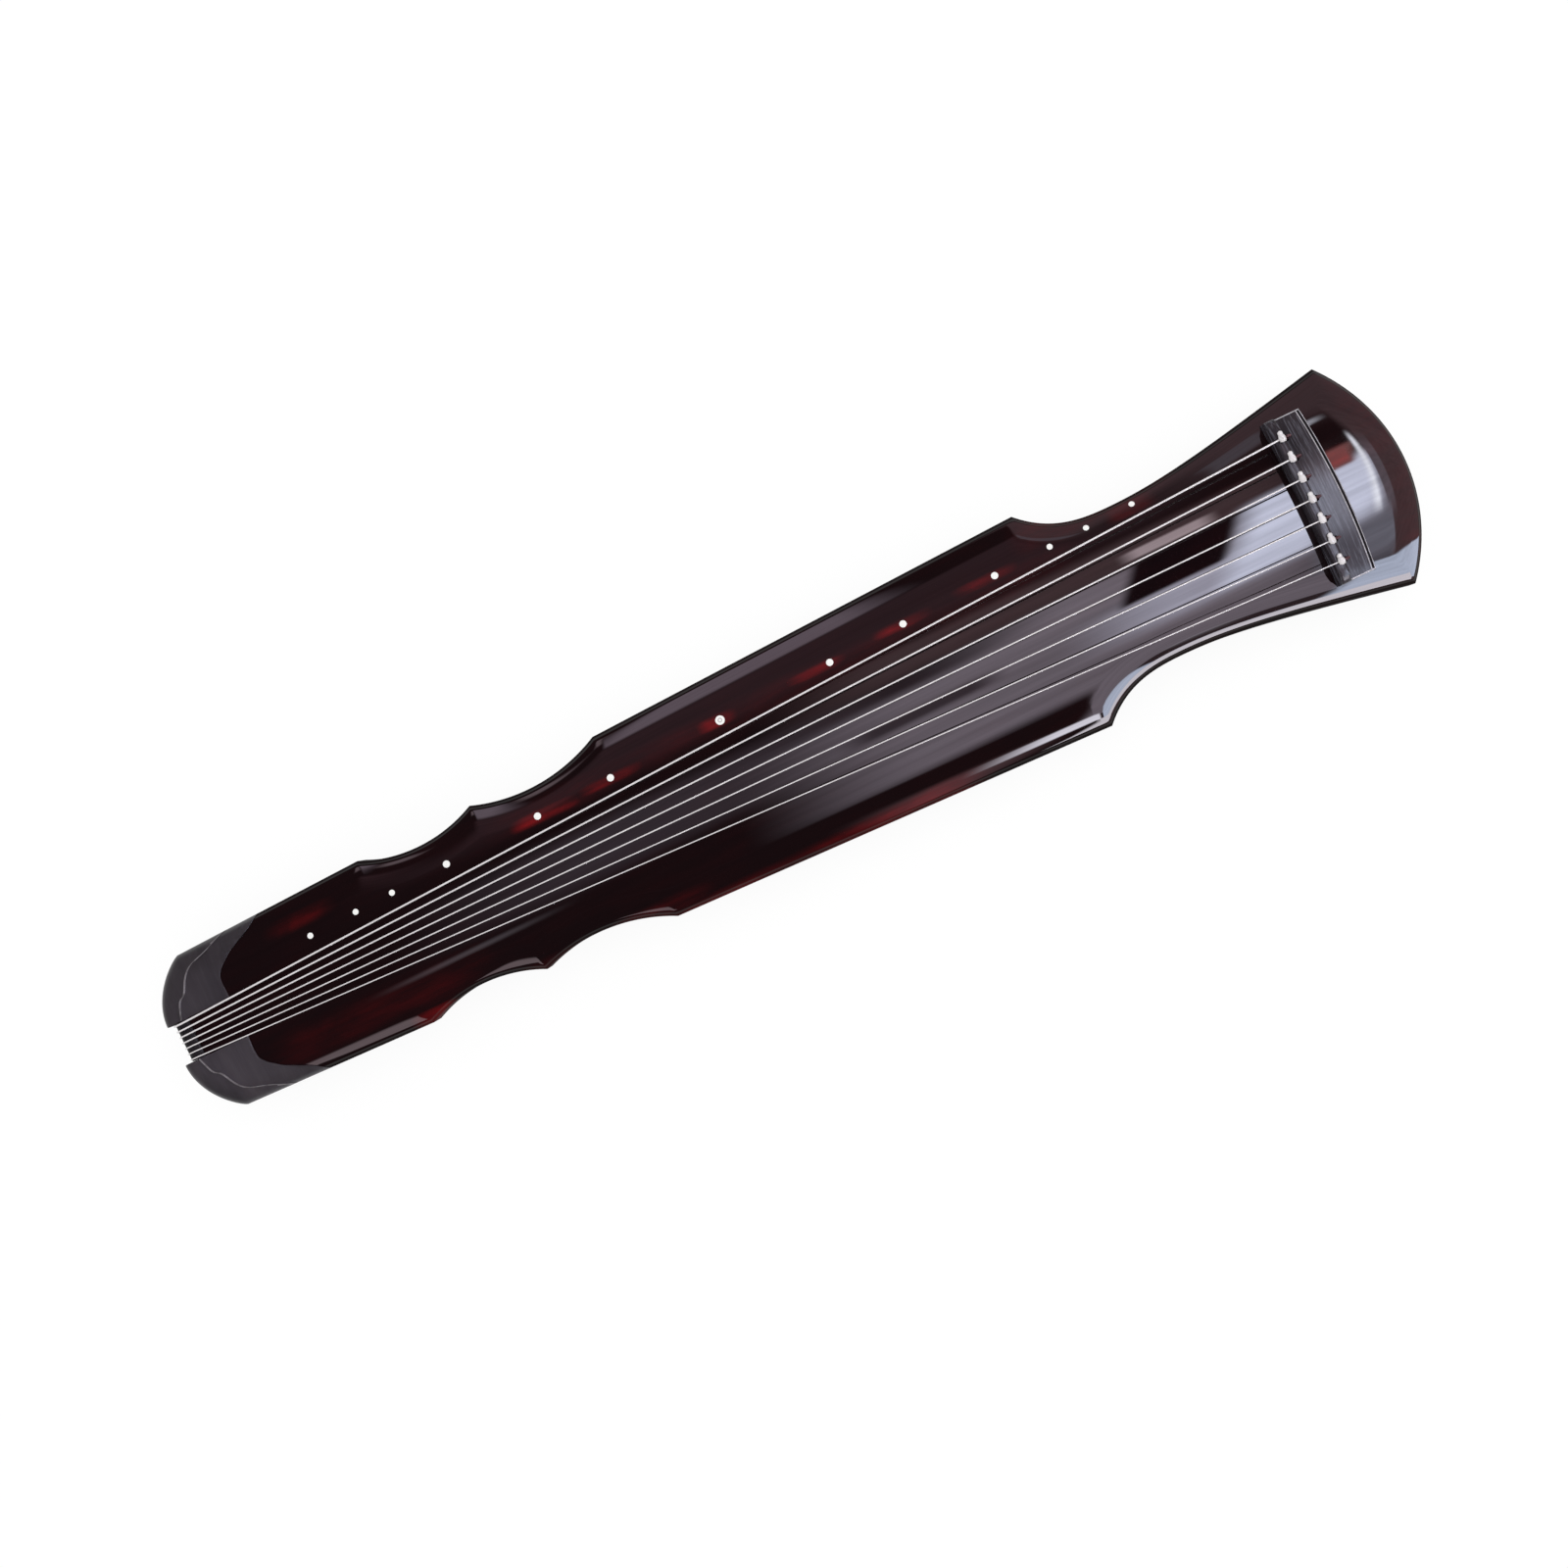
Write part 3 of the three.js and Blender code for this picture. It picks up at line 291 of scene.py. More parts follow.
tree.surface(
    Base_Color=tree.blend(glow, (0.0042, 0.0021, 0.0025), (0.5, 0.011, 0.014)),
    Roughness=0.24 + 0.1 * streak, Specular_IOR_Level=0.0,
    Coat_Weight=0.07 + 0.93 * (rise * rise).between(0.34, 0.66), Coat_Roughness=0.022, Coat_IOR=1.5,
    Normal=tree.bump(skin + 0.04 * grain, 0.15, 0.0012),
)
bare_wood = grained("light_bare_wood", (9, 240, 240), (5, 0.6, 0.4),
                    ((0.36, 0.23, 0.13), (0.2, 0.115, 0.06)), (0.75, 0.15), (0.3, 0.0004), (0.3, 0.7))


def mesh_from(name, points, faces, edges=()):
    mesh = bpy.data.meshes.new(name)
    mesh.from_pydata([tuple(point) for point in points], list(edges), [tuple(face) for face in faces])
    mesh.update()
    return mesh


def piece_from(name, mesh):
    piece = bpy.data.objects.new(name, mesh)
    bpy.context.scene.collection.objects.link(piece)
    return piece


def grid_faces(rows, columns, closed=False):
    """Faces between rows of points; closed joins each row's last point to its first."""
    wide = columns if closed else columns - 1
    return [(r * columns + c, (r + 1) * columns + c, (r + 1) * columns + (c + 1) % columns,
             r * columns + (c + 1) % columns) for r in range(rows - 1) for c in range(wide)]


def ring_mesh(name, rings, looped=False):
    """A closed mesh through rings of equally many points, with two end faces or looped."""
    rings = np.asarray(rings, dtype=float)
    rows, count = rings.shape[:2]
    total = rows * count
    faces = [tuple(i % total for i in face) for face in grid_faces(rows + looped, count, closed=True)]
    if not looped:
        faces += [tuple(range(count)), tuple(range(total - 1, total - count - 1, -1))]
    mesh = mesh_from(name, rings.reshape(-1, 3), faces)
    mesh.calc_loop_triangles()
    corners = [triangle.vertices[:] for triangle in mesh.loop_triangles]
    a, b, c = rings.reshape(-1, 3)[corners].transpose(1, 0, 2)
    if (a * np.cross(b, c)).sum() < 0:
        mesh.flip_normals()
    return mesh


def at_height(plan, z):
    return np.column_stack([plan, np.full(len(plan), z)])


def prism(plan, low, high):
    return ring_mesh("prism", [at_height(plan, z) for z in (low, high)])


def block(low, high):
    plan = [(low[0], low[1]), (high[0], low[1]), (high[0], high[1]), (low[0], high[1])]
    return prism(plan, low[2], high[2])


def circle(x, y, radius, sides):
    turn = 2 * np.pi * np.arange(sides) / sides
    return np.column_stack([x + radius * np.cos(turn), y + radius * np.sin(turn)])


def round_rod(x, y, radius, low, high, sides=32):
    return prism(circle(x, y, radius, sides), low, high)


def keep_result(piece, modifier):
    """Makes what a modifier gives the piece's plain mesh."""
    graph = bpy.context.evaluated_depsgraph_get()
    graph.update()
    mesh = bpy.data.meshes.new_from_object(piece.evaluated_get(graph))
    piece.modifiers.remove(modifier)
    piece.data = mesh


def run_tree(piece, group, values):
    """Runs a Geometry Nodes tree on a piece, with values for its named inputs."""
    modifier = piece.modifiers.new("tree", "NODES")
    modifier.node_group = group
    for item in group.interface.items_tree:
        if item.name in values:
            modifier[item.identifier] = values[item.name]
    keep_result(piece, modifier)
    mesh = piece.data
    mesh.materials.clear()
    mesh.materials.append(values["Material"])
    mesh.polygons.foreach_set("material_index", np.zeros(len(mesh.polygons), dtype=np.int32))
    return piece


def new_tree(name, floats, counts=()):
    """An empty Geometry Nodes tree with named inputs, and the fields that they give."""
    inputs = {"Geometry": "Geometry", **dict.fromkeys(floats, "Float"),
              **dict.fromkeys(counts, "Int"), "Material": "Material"}
    group = bpy.data.node_groups.new(name, "GeometryNodeTree")
    group.interface.new_socket("Geometry", in_out="OUTPUT", socket_type="NodeSocketGeometry")
    for label, kind in inputs.items():
        group.interface.new_socket(label, in_out="INPUT", socket_type="NodeSocket" + kind)
    tree = Tree(group)
    start = group.nodes.new("NodeGroupInput")
    return group, tree, {label: Field(tree, start.outputs[label]) for label in inputs}


def end_tree(tree, geometry, material):
    """Every tree ends with its instances made real and its material set."""
    real = tree.node("GeometryNodeRealizeInstances", {"Geometry": geometry})
    painted = tree.node("GeometryNodeSetMaterial", {"Geometry": real, "Material": material})
    tree.node("NodeGroupOutput", {"Geometry": painted})


sizes = {"Crown Height": crown_top, "Arch Radius": arch_radius, "Rim Width": rim_width,
         "Rim Fall": rim_fall, "Edge Round": edge_round, "Head Run": head_run, "Head Fall": head_fall,
         "Head End": head_end, "Tail Run": tail_run, "Tail Fall": tail_fall, "Tail End": tail_end}
arched_group, tree, given = new_tree("arched_board", sizes)
x, y, _ = tree.node("GeometryNodeInputPosition").axes()
inset, lift = [tree.node("GeometryNodeInputNamedAttribute", {"Name": label}, data_type="FLOAT")
               for label in ("inset", "lift")]
toward_head = ((given["Head Run"] - (given["Head End"] - x)).at_least(0) / given["Head Run"]) ** 2
toward_tail = ((given["Tail Run"] - (x - given["Tail End"])).at_least(0) / given["Tail Run"]) ** 2
rim = ((given["Rim Width"] - inset).at_least(0) / given["Rim Width"]) ** 2
within = (given["Edge Round"] - inset).at_least(0)
rounding = given["Edge Round"] - (given["Edge Round"] ** 2 - within ** 2).at_least(0) ** 0.5
height = (given["Crown Height"] - given["Head Fall"] * toward_head - given["Tail Fall"] * toward_tail
          - y * y / (2 * given["Arch Radius"]) - given["Rim Fall"] * rim - rounding + lift)
raised = tree.node("GeometryNodeExtrudeMesh", {
    "Mesh": given["Geometry"], "Individual": False, "Offset Scale": 0.001}, mode="FACES")
spot = tree.node("ShaderNodeCombineXYZ", {"X": x, "Y": y, "Z": height})
arched = tree.node("GeometryNodeSetPosition", {
    "Geometry": raised, "Selection": raised.also("Top"), "Position": spot})
underside = tree.node("GeometryNodeFlipFaces", {"Mesh": given["Geometry"]})
joint = tree.node("GeometryNodeJoinGeometry", {"Geometry": [arched, underside]})
whole = tree.node("GeometryNodeMergeByDistance", {"Geometry": joint, "Distance": 0.00001})
end_tree(tree, whole, given["Material"])


def give(mesh, label, values, kind="FLOAT", key="value"):
    attribute = mesh.attributes.new(label, kind, "POINT")
    attribute.data.foreach_set(key, np.array(values, dtype=np.float32).ravel())


def arched_piece(name, columns, material, bottom, lift=0.0):
    """A solid whose top follows the playing surface over a plan, given as a grid of points."""
    rows, across = columns.shape[:2]
    plan = columns.reshape(-1, 2)
    mesh = mesh_from(name, at_height(plan, bottom), grid_faces(rows, across))
    insets = inset_at(plan[:, 0], plan[:, 1])
    on_outline = insets < 0.00003
    give(mesh, "inset", np.where(on_outline, 0, insets))
    give(mesh, "lift", np.broadcast_to(lift, (rows, across)))
    return run_tree(piece_from(name, mesh), arched_group, {**sizes, "Material": material})


def cut(piece, *cutters):
    """Cuts solids out of a piece, one after the other."""
    for cutter in cutters:
        cutter.materials.clear()
        cutter.materials.append(piece.data.materials[0])
        tool = piece_from("cutter", cutter)
        modifier = piece.modifiers.new("cut", "BOOLEAN")
        modifier.operation, modifier.solver, modifier.object = "DIFFERENCE", "MANIFOLD", tool
        keep_result(piece, modifier)
        bpy.data.objects.remove(tool)


def smooth(piece, angle=32):
    piece.data.shade_smooth()
    piece.data.set_sharp_from_angle(angle=math.radians(angle))


def half_width_at(x):
    return np.interp(x, side_line[:, 0], side_line[:, 1])


# The plan is a grid: its lines along the sides bend into the two end arcs.
edge_steps = np.array([0, 0.05, 0.15, 0.3, 0.5, 0.75, 1.1, 1.6, 2.2]) * edge_round
edge_width, tail_bend_run = 0.1, 0.09
side_x = side_line[:, 0]
side_x = side_x[(side_x > tail_corner[0] + edge_steps[-1]) & (side_x < head_corner[0] - edge_steps[-1])]
side_x = np.concatenate([tail_corner[0] + edge_steps, side_x, (head_corner[0] - edge_steps)[::-1]])
board_shares = np.concatenate([np.linspace(0, 1, 24)[:-1] * (1 - edge_steps[-1] / edge_width),
                               1 - edge_steps[::-1] / edge_width])
board_shares = np.concatenate([-board_shares[:0:-1], board_shares])
head_bend = np.clip((side_x - head_arc_centre) / (head_corner[0] - head_arc_centre), 0, 1)
tail_bend = np.clip(1 - (side_x - tail_corner[0]) / tail_bend_run, 0, 1)
head_reach = head_arc_centre + np.sqrt(
    head_arc_radius ** 2 - (board_shares * head_half_width) ** 2) - head_corner[0]
tail_reach = np.interp(np.abs(board_shares) * tail_corner[1],
                       tail_line[:, 1], tail_line[:, 0]) - tail_corner[0]
board_plan = np.stack([
    side_x[:, None] + head_bend[:, None] * head_reach + tail_bend[:, None] * tail_reach,
    half_width_at(side_x)[:, None] * board_shares], axis=-1)
soundboard = arched_piece("soundboard", board_plan, lacquer, seam)

inner_x = side_x[(side_x > chamber_start) & (side_x < chamber_end)]
chamber_x = np.concatenate([[chamber_start], inner_x, [chamber_end]])[::3]
chamber_shares = np.linspace(-1, 1, 17)
chamber_plan_y = (half_width_at(chamber_x) - wall)[:, None] * chamber_shares
chamber_plan_x = np.repeat(chamber_x[:, None], len(chamber_shares), axis=1)
mounds = sum(np.sqrt(np.maximum(1 - ((chamber_plan_x - x) / (length / 2 + 0.012)) ** 2
                                - (chamber_plan_y / mound_width) ** 2, 0))
             for x, length in ((pond_x, 0.21), (pool_x, 0.11)))
roof = (surface_at(chamber_plan_x, chamber_plan_y, inset_at(chamber_plan_x, chamber_plan_y))
        - top_thickness - mound_height * mounds)
roof_points = np.stack([chamber_plan_x, chamber_plan_y, roof], axis=-1)
floor_points = roof_points * [1, 1, 0] + [0, 0, seam - overlap]
chamber = ring_mesh("chamber", np.concatenate([roof_points, floor_points[:, ::-1]], axis=1))

holes_x, string_ys, hole_radius = 0.528, 0.0606 - 0.0202 * np.arange(7), 0.003
bridge_x, bridge_width, bridge_half = 0.518, 0.01, 0.0805
strip_start = bridge_x + bridge_width / 2 + slack
strip_bow = np.linspace(-bridge_half, bridge_half, 61)
strip_middle, strip_end = 0.0308, 0.028
strip_edge = strip_start + strip_middle + (strip_end - strip_middle) * (strip_bow / bridge_half) ** 2
inlay_edge = np.array([strip_start + strip_end, bridge_half])
inlay_floor = float(surface_at(*inlay_edge, inset_at(*inlay_edge[:, None]))[0]) - 0.003
strip_pocket = np.vstack([np.column_stack([strip_edge + slack, strip_bow * 1.0037]),
                          [(strip_start - slack, side * (bridge_half + slack)) for side in (1, -1)]])
notch_x, nut_back = -0.6105, -0.5955
nut_top, lower_nut_bottom, lower_nut_top = 0.080623, 0.0275, 0.0415
nut_floor = nut_top - 0.0182
trim_floor, trim_wall = 0.056, notch_half_width + slack
trim_edge = np.array([(-0.5527, trim_wall), (-0.5533, 0.0378), (-0.5492, 0.0461), (-0.5423, 0.0522),
                      (-0.5353, 0.0575), (-0.5237, 0.0635), (-0.5121, 0.0696), (-0.5005, 0.0786)])


def through(points, steps=10):
    """A smooth line through the given points."""
    padded = np.vstack([2 * points[0] - points[1], points, 2 * points[-1] - points[-2]])
    t = np.linspace(0, 1, steps, endpoint=False)[:, None]
    runs = [0.5 * (2 * b + (c - a) * t + (2 * a - 5 * b + 4 * c - d) * t ** 2
                   + (3 * b - a - 3 * c + d) * t ** 3)
            for a, b, c, d in zip(padded, padded[1:], padded[2:], padded[3:])]
    return np.vstack([*runs, points[-1:]])


trim_line = through(trim_edge)
pocket_line = trim_line + [slack, -0.0001]
pocket_plan = np.vstack([[(tail_end - overlap, trim_wall - slack)],
                         pocket_line[pocket_line[:, 1] > trim_wall],
                         [(pocket_line[-1, 0], 0.09), (tail_end - overlap, 0.09)]])
notch_cut, nut_cut, lower_nut_cut = [
    block((tail_end - 0.01, -notch_half_width, low), (end, notch_half_width, high))
    for end, low, high in ((notch_x + 0.002, 0.01, above_all),
                           (nut_back + slack, nut_floor - slack, above_all),
                           (nut_back + slack, 0.01, lower_nut_top + slack))]
well_low, well_high = [(well_x + side * well_width / 2, side * well_half_length) for side in (-1, 1)]
cut(soundboard,
    chamber,
    block((*well_low, seam - overlap), (*well_high, well_roof)),
    block((bridge_x - 0.0053, -bridge_half - slack, inlay_floor - slack),
          (bridge_x + 0.0053, bridge_half + slack, above_all)),
    prism(strip_pocket, inlay_floor - slack, above_all),
    *(round_rod(holes_x, y, hole_radius, 0.045, above_all) for y in string_ys),
    notch_cut, nut_cut, lower_nut_cut,
    *(prism(pocket_plan * [1, side], trim_floor - slack, above_all) for side in (1, -1)))
smooth(soundboard)


def paint(piece, material, is_chosen):
    """Gives a further material to the faces whose centres the test picks out."""
    mesh = piece.data
    mesh.materials.append(material)
    centres = np.empty(3 * len(mesh.polygons))
    slots = np.empty(len(mesh.polygons), dtype=np.int32)
    mesh.polygons.foreach_get("center", centres)
    mesh.polygons.foreach_get("material_index", slots)
    slots[is_chosen(*centres.reshape(-1, 3).T)] = len(mesh.materials) - 1
    mesh.polygons.foreach_set("material_index", slots)
    mesh.update()


paint(soundboard, bare_wood, lambda x, y, z: (
    (x > chamber_start - 1e-4) & (x < chamber_end + 1e-4) & (np.abs(y) < half_width_at(x) - wall + 0.001)
    & (z < 0.075) & (z < surface_at(x, y, np.full(x.shape, 1.0)) - 0.006) & (z > seam + 1e-5)))
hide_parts("top_board")
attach(soundboard, "instrument")

# Bottom board. A flat, harder plank that closes the chamber, glued under the soundboard and
# lacquered with it. It has the two long sound holes, the well for the pegs and the sockets
# of the two feet.
foot_x, foot_y, tenon_radius = -0.262, 0.0439568, 0.006
board_bottom, board_bevel = 0.03, 0.0015
pond_size, pool_size, hole_corner = (0.21, 0.028), (0.11, 0.026), 0.006
below_board, above_board = 0.02, 0.05
both_sides = (("far", 1), ("near", -1))


def lofted(name, rings, material, looped=False):
    """A solid through rings of equally many points."""
    mesh = ring_mesh(name, rings, looped)
    mesh.materials.append(material)
    return piece_from(name, mesh)


def inset_plan(plan, distance):
    """The same plan with every side moved inward; its corners are listed anticlockwise."""
    before, after = plan - np.roll(plan, 1, axis=0), np.roll(plan, -1, axis=0) - plan
    before, after = [side / np.linalg.norm(side, axis=1)[:, None] for side in (before, after)]
    normal = np.column_stack([-(before + after)[:, 1], (before + after)[:, 0]])
    normal /= np.linalg.norm(normal, axis=1)[:, None]
    lean = np.maximum(-normal[:, 0] * after[:, 1] + normal[:, 1] * after[:, 0], 0.5)
    return plan + normal * (distance / lean)[:, None]


def rounded_rectangle(centre, length, width, radius, steps=8):
    quarter = np.linspace(0, np.pi / 2, steps + 1)
    corners = [(centre + sx * (length / 2 - radius), sy * (width / 2 - radius), k * np.pi / 2)
               for k, (sx, sy) in enumerate([(1, 1), (-1, 1), (-1, -1), (1, -1)])]
    return np.vstack([np.column_stack([x + radius * np.cos(quarter + start),
                                       y + radius * np.sin(quarter + start)])
                      for x, y, start in corners])


side_lengths = np.linalg.norm(body_outline - np.roll(body_outline, 1, axis=0), axis=1)
clean_outline = body_outline[side_lengths > 1e-6]
bottom_panel = lofted("bottom_panel", [
    *(at_height(inset_plan(clean_outline, board_bevel * (1 - math.sin(turn))),
                board_bottom + board_bevel * (1 - math.cos(turn)))
      for turn in np.linspace(0, np.pi / 2, 5)),
    at_height(clean_outline, seam)], lacquer)
cut(bottom_panel,
    *(prism(rounded_rectangle(x, *size, hole_corner), below_board, above_board)
      for x, size in ((pond_x, pond_size), (pool_x, pool_size))),
    block((*well_low, below_board), (*well_high, above_board)),
    *(round_rod(foot_x, side * foot_y, tenon_radius + slack, below_board, above_board)
      for _, side in both_sides),
    notch_cut, lower_nut_cut)
smooth(bottom_panel)
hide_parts("bottom_board")
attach(bottom_panel, "instrument")

# Bridge. A tall, narrow bar of hard dark wood across the head, let into the soundboard, with
# its top edges rounded so that the strings lie on it without a kink.
bridge_height, bridge_round, bridge_crown = 0.017, 0.0025, 0.9
bridge_end_run, bridge_end_fall, bridge_corner = 0.012, 0.005, 0.0012

# Both hardwoods have pale blue-grey streaks along the grain that are partly grain and partly a painted sheen:
# faint on the satin one, strong on the one for the bridge and the strip.
hardwoods = []
for finish, grain_sheen_share, dullness, shine in (("satin_hardwood", 0.04, 0.34, 0.5),
                                              ("grain_and_sheen_hardwood", 0.6, 0.1, 0.2)):
    wood, tree = finish_named(finish)
    hardwoods.append(wood)
    pore = tree.noise((520, 34, 300), 4, 0.65, 0.3)
    shade = tree.noise((40, 7, 30), 3, 0.5, 0.5)
    streak = tree.noise((640, 22, 300), 3, 0.6, 0.2)
    plain = tree.blend(shade.between(0.3, 0.75), (0.014, 0.0125, 0.016), (0.038, 0.032, 0.038))
    tree.surface(
        Base_Color=tree.blend(streak.between(0.5, 0.68) * grain_sheen_share, plain, (0.15, 0.148, 0.18)),
        Roughness=dullness + 0.16 * pore, Specular_IOR_Level=shine,
        Normal=tree.bump(pore, 0.16, 0.0002),
    )
satin_wood, grain_and_sheen_wood = hardwoods


def bridge_top_at(y):
    end = np.maximum(np.abs(y) - (bridge_half - bridge_end_run), 0) / bridge_end_run
    crown = surface_at(np.float64(bridge_x), np.float64(0), np.float64(1))
    return crown + bridge_height - y ** 2 / (2 * bridge_crown) - bridge_end_fall * end ** 2


turn = np.linspace(0, np.pi / 2, 7)
top_run = (bridge_width / 2 - bridge_round) + bridge_round * np.sin(turn)
top_drop = bridge_round * (1 - np.cos(turn))
section_x = np.concatenate([[-bridge_width / 2], -top_run[::-1], top_run, [bridge_width / 2]])
section_drop = np.concatenate([top_drop[::-1], top_drop])
bridge_ends = bridge_half * (
    1 - np.array([0, 0.0008, 0.002, 0.004, 0.007, 0.012, 0.02, 0.035, 0.06, 0.1, 0.15]))
bridge_rings = []
for y in np.concatenate([-bridge_ends, np.linspace(-0.066, 0.066, 45), bridge_ends[::-1]]):
    from_end = max(1 - (bridge_half - abs(y)) / bridge_corner, 0)
    corner_drop = bridge_corner * (1 - math.sqrt(max(1 - from_end ** 2, 0)))
    top = bridge_top_at(y) - corner_drop - section_drop
    heights = np.concatenate([[inlay_floor], top, [inlay_floor]])
    bridge_rings.append(np.column_stack([bridge_x + section_x, np.full(len(heights), y), heights]))
# The bridge's wood carries the painted sheen streaks along its grain.
tall_bridge = lofted("tall_bridge", bridge_rings, grain_and_sheen_wood)
smooth(tall_bridge, 40)
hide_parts("bridge")
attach(tall_bridge, "instrument")

# Strip behind the bridge. A bowed piece of the same wood, inlaid flush against the bridge
# and standing a little proud, with a moulding along its outer edge, on which a painted
# highlight and painted shade lie. A hole for each string goes through it to the pegs.
strip_rise, strip_corner, strip_corner_fall, painted_highlight_end = 0.0012, 0.0012, 0.0006, 0.0013
strip_lines = np.array([0, 0.0004, 0.002, 0.006, 0.012, 0.017, 0.0215])
moulding_steps = np.array([0.0044, 0.0040, 0.0030, 0.0026, 0.0010, 0.0007, 0])
moulding_drops = np.array([0, 0, 0.0002, 0.0009, 0.0009, 0.0003, 0.0005])
strip_ends = np.array([0, 0.0004, 0.0012, 0.0016])

# Painted highlights: light greys that stand in for the light on raised edges, the first for the strip's
# moulding and ends, the second for the trims' bead.
painted_edge_highlight, painted_bead_highlight = [
    grained(name, (160, 160, 160), (3, 0.6, 0.3), colours, (0.4, 0), span=(0.35, 0.7))
    for name, colours in (("painted_edge_highlight", ((0.28, 0.27, 0.29), (0.5, 0.48, 0.52))),
                          ("painted_bead_highlight", ((0.07, 0.062, 0.066), (0.24, 0.22, 0.24))))]
# Painted shade: a near-black line for the shadow in the moulding's groove.
painted_shade_line = grained("painted_shade_in_groove", (300, 300, 300), (3, 0.6, 0.2),
                       ((0.002, 0.002, 0.0025), (0.006, 0.005, 0.006)), (0.7, 0),
                       Specular_IOR_Level=0.1)


def strip_edge_at(y):
    return np.interp(y, strip_bow, strip_edge)


strip_rows, strip_lifts = [], []
for y in np.concatenate([-bridge_half + strip_ends, strip_bow[1:-1], (bridge_half - strip_ends)[::-1]]):
    xs = np.concatenate([strip_start + strip_lines, strip_edge_at(y) - moulding_steps])
    end_drop = strip_corner_fall * max(1 - (bridge_half - abs(y)) / strip_corner, 0)
    drops = np.concatenate([[0.0003], np.zeros(len(strip_lines) - 1), moulding_drops])
    strip_rows.append(np.column_stack([xs, np.full(len(xs), y)]))
    strip_lifts.append(strip_rise - np.maximum(drops, end_drop))
strip_plan = np.stack(strip_rows).transpose(1, 0, 2)
strip_piece = arched_piece("bowed_strip", strip_plan, grain_and_sheen_wood, inlay_floor, np.stack(strip_lifts).T)
cut(strip_piece, *(round_rod(holes_x, y, hole_radius, 0.05, above_all) for y in string_ys))
# Painted highlight: light grey on the moulding's ridge, the strip's outer edge and its ends.
paint(strip_piece, painted_edge_highlight, lambda x, y, z: (
    (np.abs(strip_edge_at(y) - x - 0.0035) < 0.0006) | (strip_edge_at(y) - x < 0.0008)
    | (np.abs(y) > bridge_half - painted_highlight_end)))
# Painted shade in the moulding's groove, short of the strip's ends.
paint(strip_piece, painted_shade_line, lambda x, y, z: (
    (np.abs(strip_edge_at(y) - x - 0.0019) < 0.001) & (np.abs(y) < bridge_half - painted_highlight_end)))
smooth(strip_piece, 25)
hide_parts("bridge_strip")
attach(strip_piece, "instrument")

# Tail trims. Two plates of hard wood that cover the corners of the tail on either side of
# the strings, let in flush round the edge. A thin raised bead runs over each in a wave,
# painted lighter as a painted highlight.
ridge_points = np.array([(-0.6022, trim_wall), (-0.6005, 0.0242), (-0.5963, 0.0348), (-0.5896, 0.0401),
                         (-0.5829, 0.0529), (-0.5745, 0.0612), (-0.556, 0.068), (-0.5325, 0.0786)])
trim_lift, bead_lift, outer_lift, inner_step, bead_width = 0.0008, 0.0017, 0.0013, 0.0004, 0.0009


def to_outline(line):
    """The line up to where it leaves the body at its side."""
    outside = np.argmax(line[:, 1] > half_width_at(line[:, 0]))
    a, b = line[outside - 1], line[outside]
    for _ in range(30):
        middle = (a + b) / 2
        a, b = (a, middle) if middle[1] > half_width_at(middle[0]) else (middle, b)
    return np.vstack([line[:outside], a])


def reach_along(line):
    return np.concatenate([[0], np.cumsum(np.linalg.norm(np.diff(line, axis=0), axis=1))])


def along(line, shares):
    reach = reach_along(line)
    return np.column_stack([np.interp(shares * reach[-1], reach, line[:, k]) for k in (0, 1)])


inner_line, bead_line = to_outline(trim_line), to_outline(through(ridge_points))
rim_line = np.vstack([[(tail_end, trim_wall)], tail_line[tail_line[:, 1] > trim_wall + 1e-5],
                      [p for p in side_line[1:] if p[0] < bead_line[-1, 0]], bead_line[-1:]])
rim_reach = reach_along(rim_line)
corner_share = rim_reach[np.argmax(rim_line[:, 1] == tail_corner[1])] / rim_reach[-1]
trim_shares = np.unique(np.concatenate([
    np.linspace(0, corner_share, 40), np.linspace(corner_share, 0.95, 30), 1 - edge_steps / 0.11]))
inner_run, bead_run, rim_run = [along(line, trim_shares) for line in (inner_line, bead_line, rim_line)]
inner_gap = np.linalg.norm(inner_run - bead_run, axis=1)[:, None]
trim_rows = [
    *((inner_run + (bead_run - inner_run) * share, trim_lift) for share in (0, 0.01, 0.1, 0.3, 0.55, 0.8)),
    *((bead_run + (inner_run - bead_run) * (gap / inner_gap), lift)
      for gap, lift in ((0.0008, trim_lift), (0.0003, bead_lift), (0, bead_lift))),
    *((bead_run + (rim_run - bead_run) * share, outer_lift)
      for share in (0.04, 0.2, 0.45, 0.65, 0.78, 0.86, 0.91, 0.94, 0.96, 0.975, 0.99, 1))]
trim_plan = np.stack([row for row, _ in trim_rows])
trim_lifts = np.array([np.full(len(trim_shares), lift) for _, lift in trim_rows])
trim_lifts[0] -= inner_step
bead_dots = along(bead_line, np.linspace(0, 1, 500))
for side_name, side in both_sides:
    trim = arched_piece(f"tail_corner_{side_name}", (trim_plan * [1, side])[::-side], satin_wood,
                        trim_floor, trim_lifts[::-side])
    # Painted highlight: the lighter colour along the raised bead.
    paint(trim, painted_bead_highlight, lambda x, y, z: np.min(np.hypot(
        x[:, None] - bead_dots[:, 0], np.abs(y)[:, None] - bead_dots[:, 1]), axis=1) < bead_width)
    smooth(trim, 25)
    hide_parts(f"tail_trim_{side_name}")
    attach(trim, "instrument")

# Tail nut and lower nut. Two small bars of hard wood in the notch of the tail, rounded where
# the strings bend over the upper one, down, and under the lower one toward the feet.
nut_half, nut_round, lower_round, string_rise = notch_half_width - slack, 0.0085, 0.004, 0.0022


def quarter(centre_x, centre_z, radius, start, steps=10):
    turn = start + np.linspace(0, np.pi / 2, steps + 1)
    return [(centre_x + radius * math.cos(a), centre_z + radius * math.sin(a)) for a in turn]


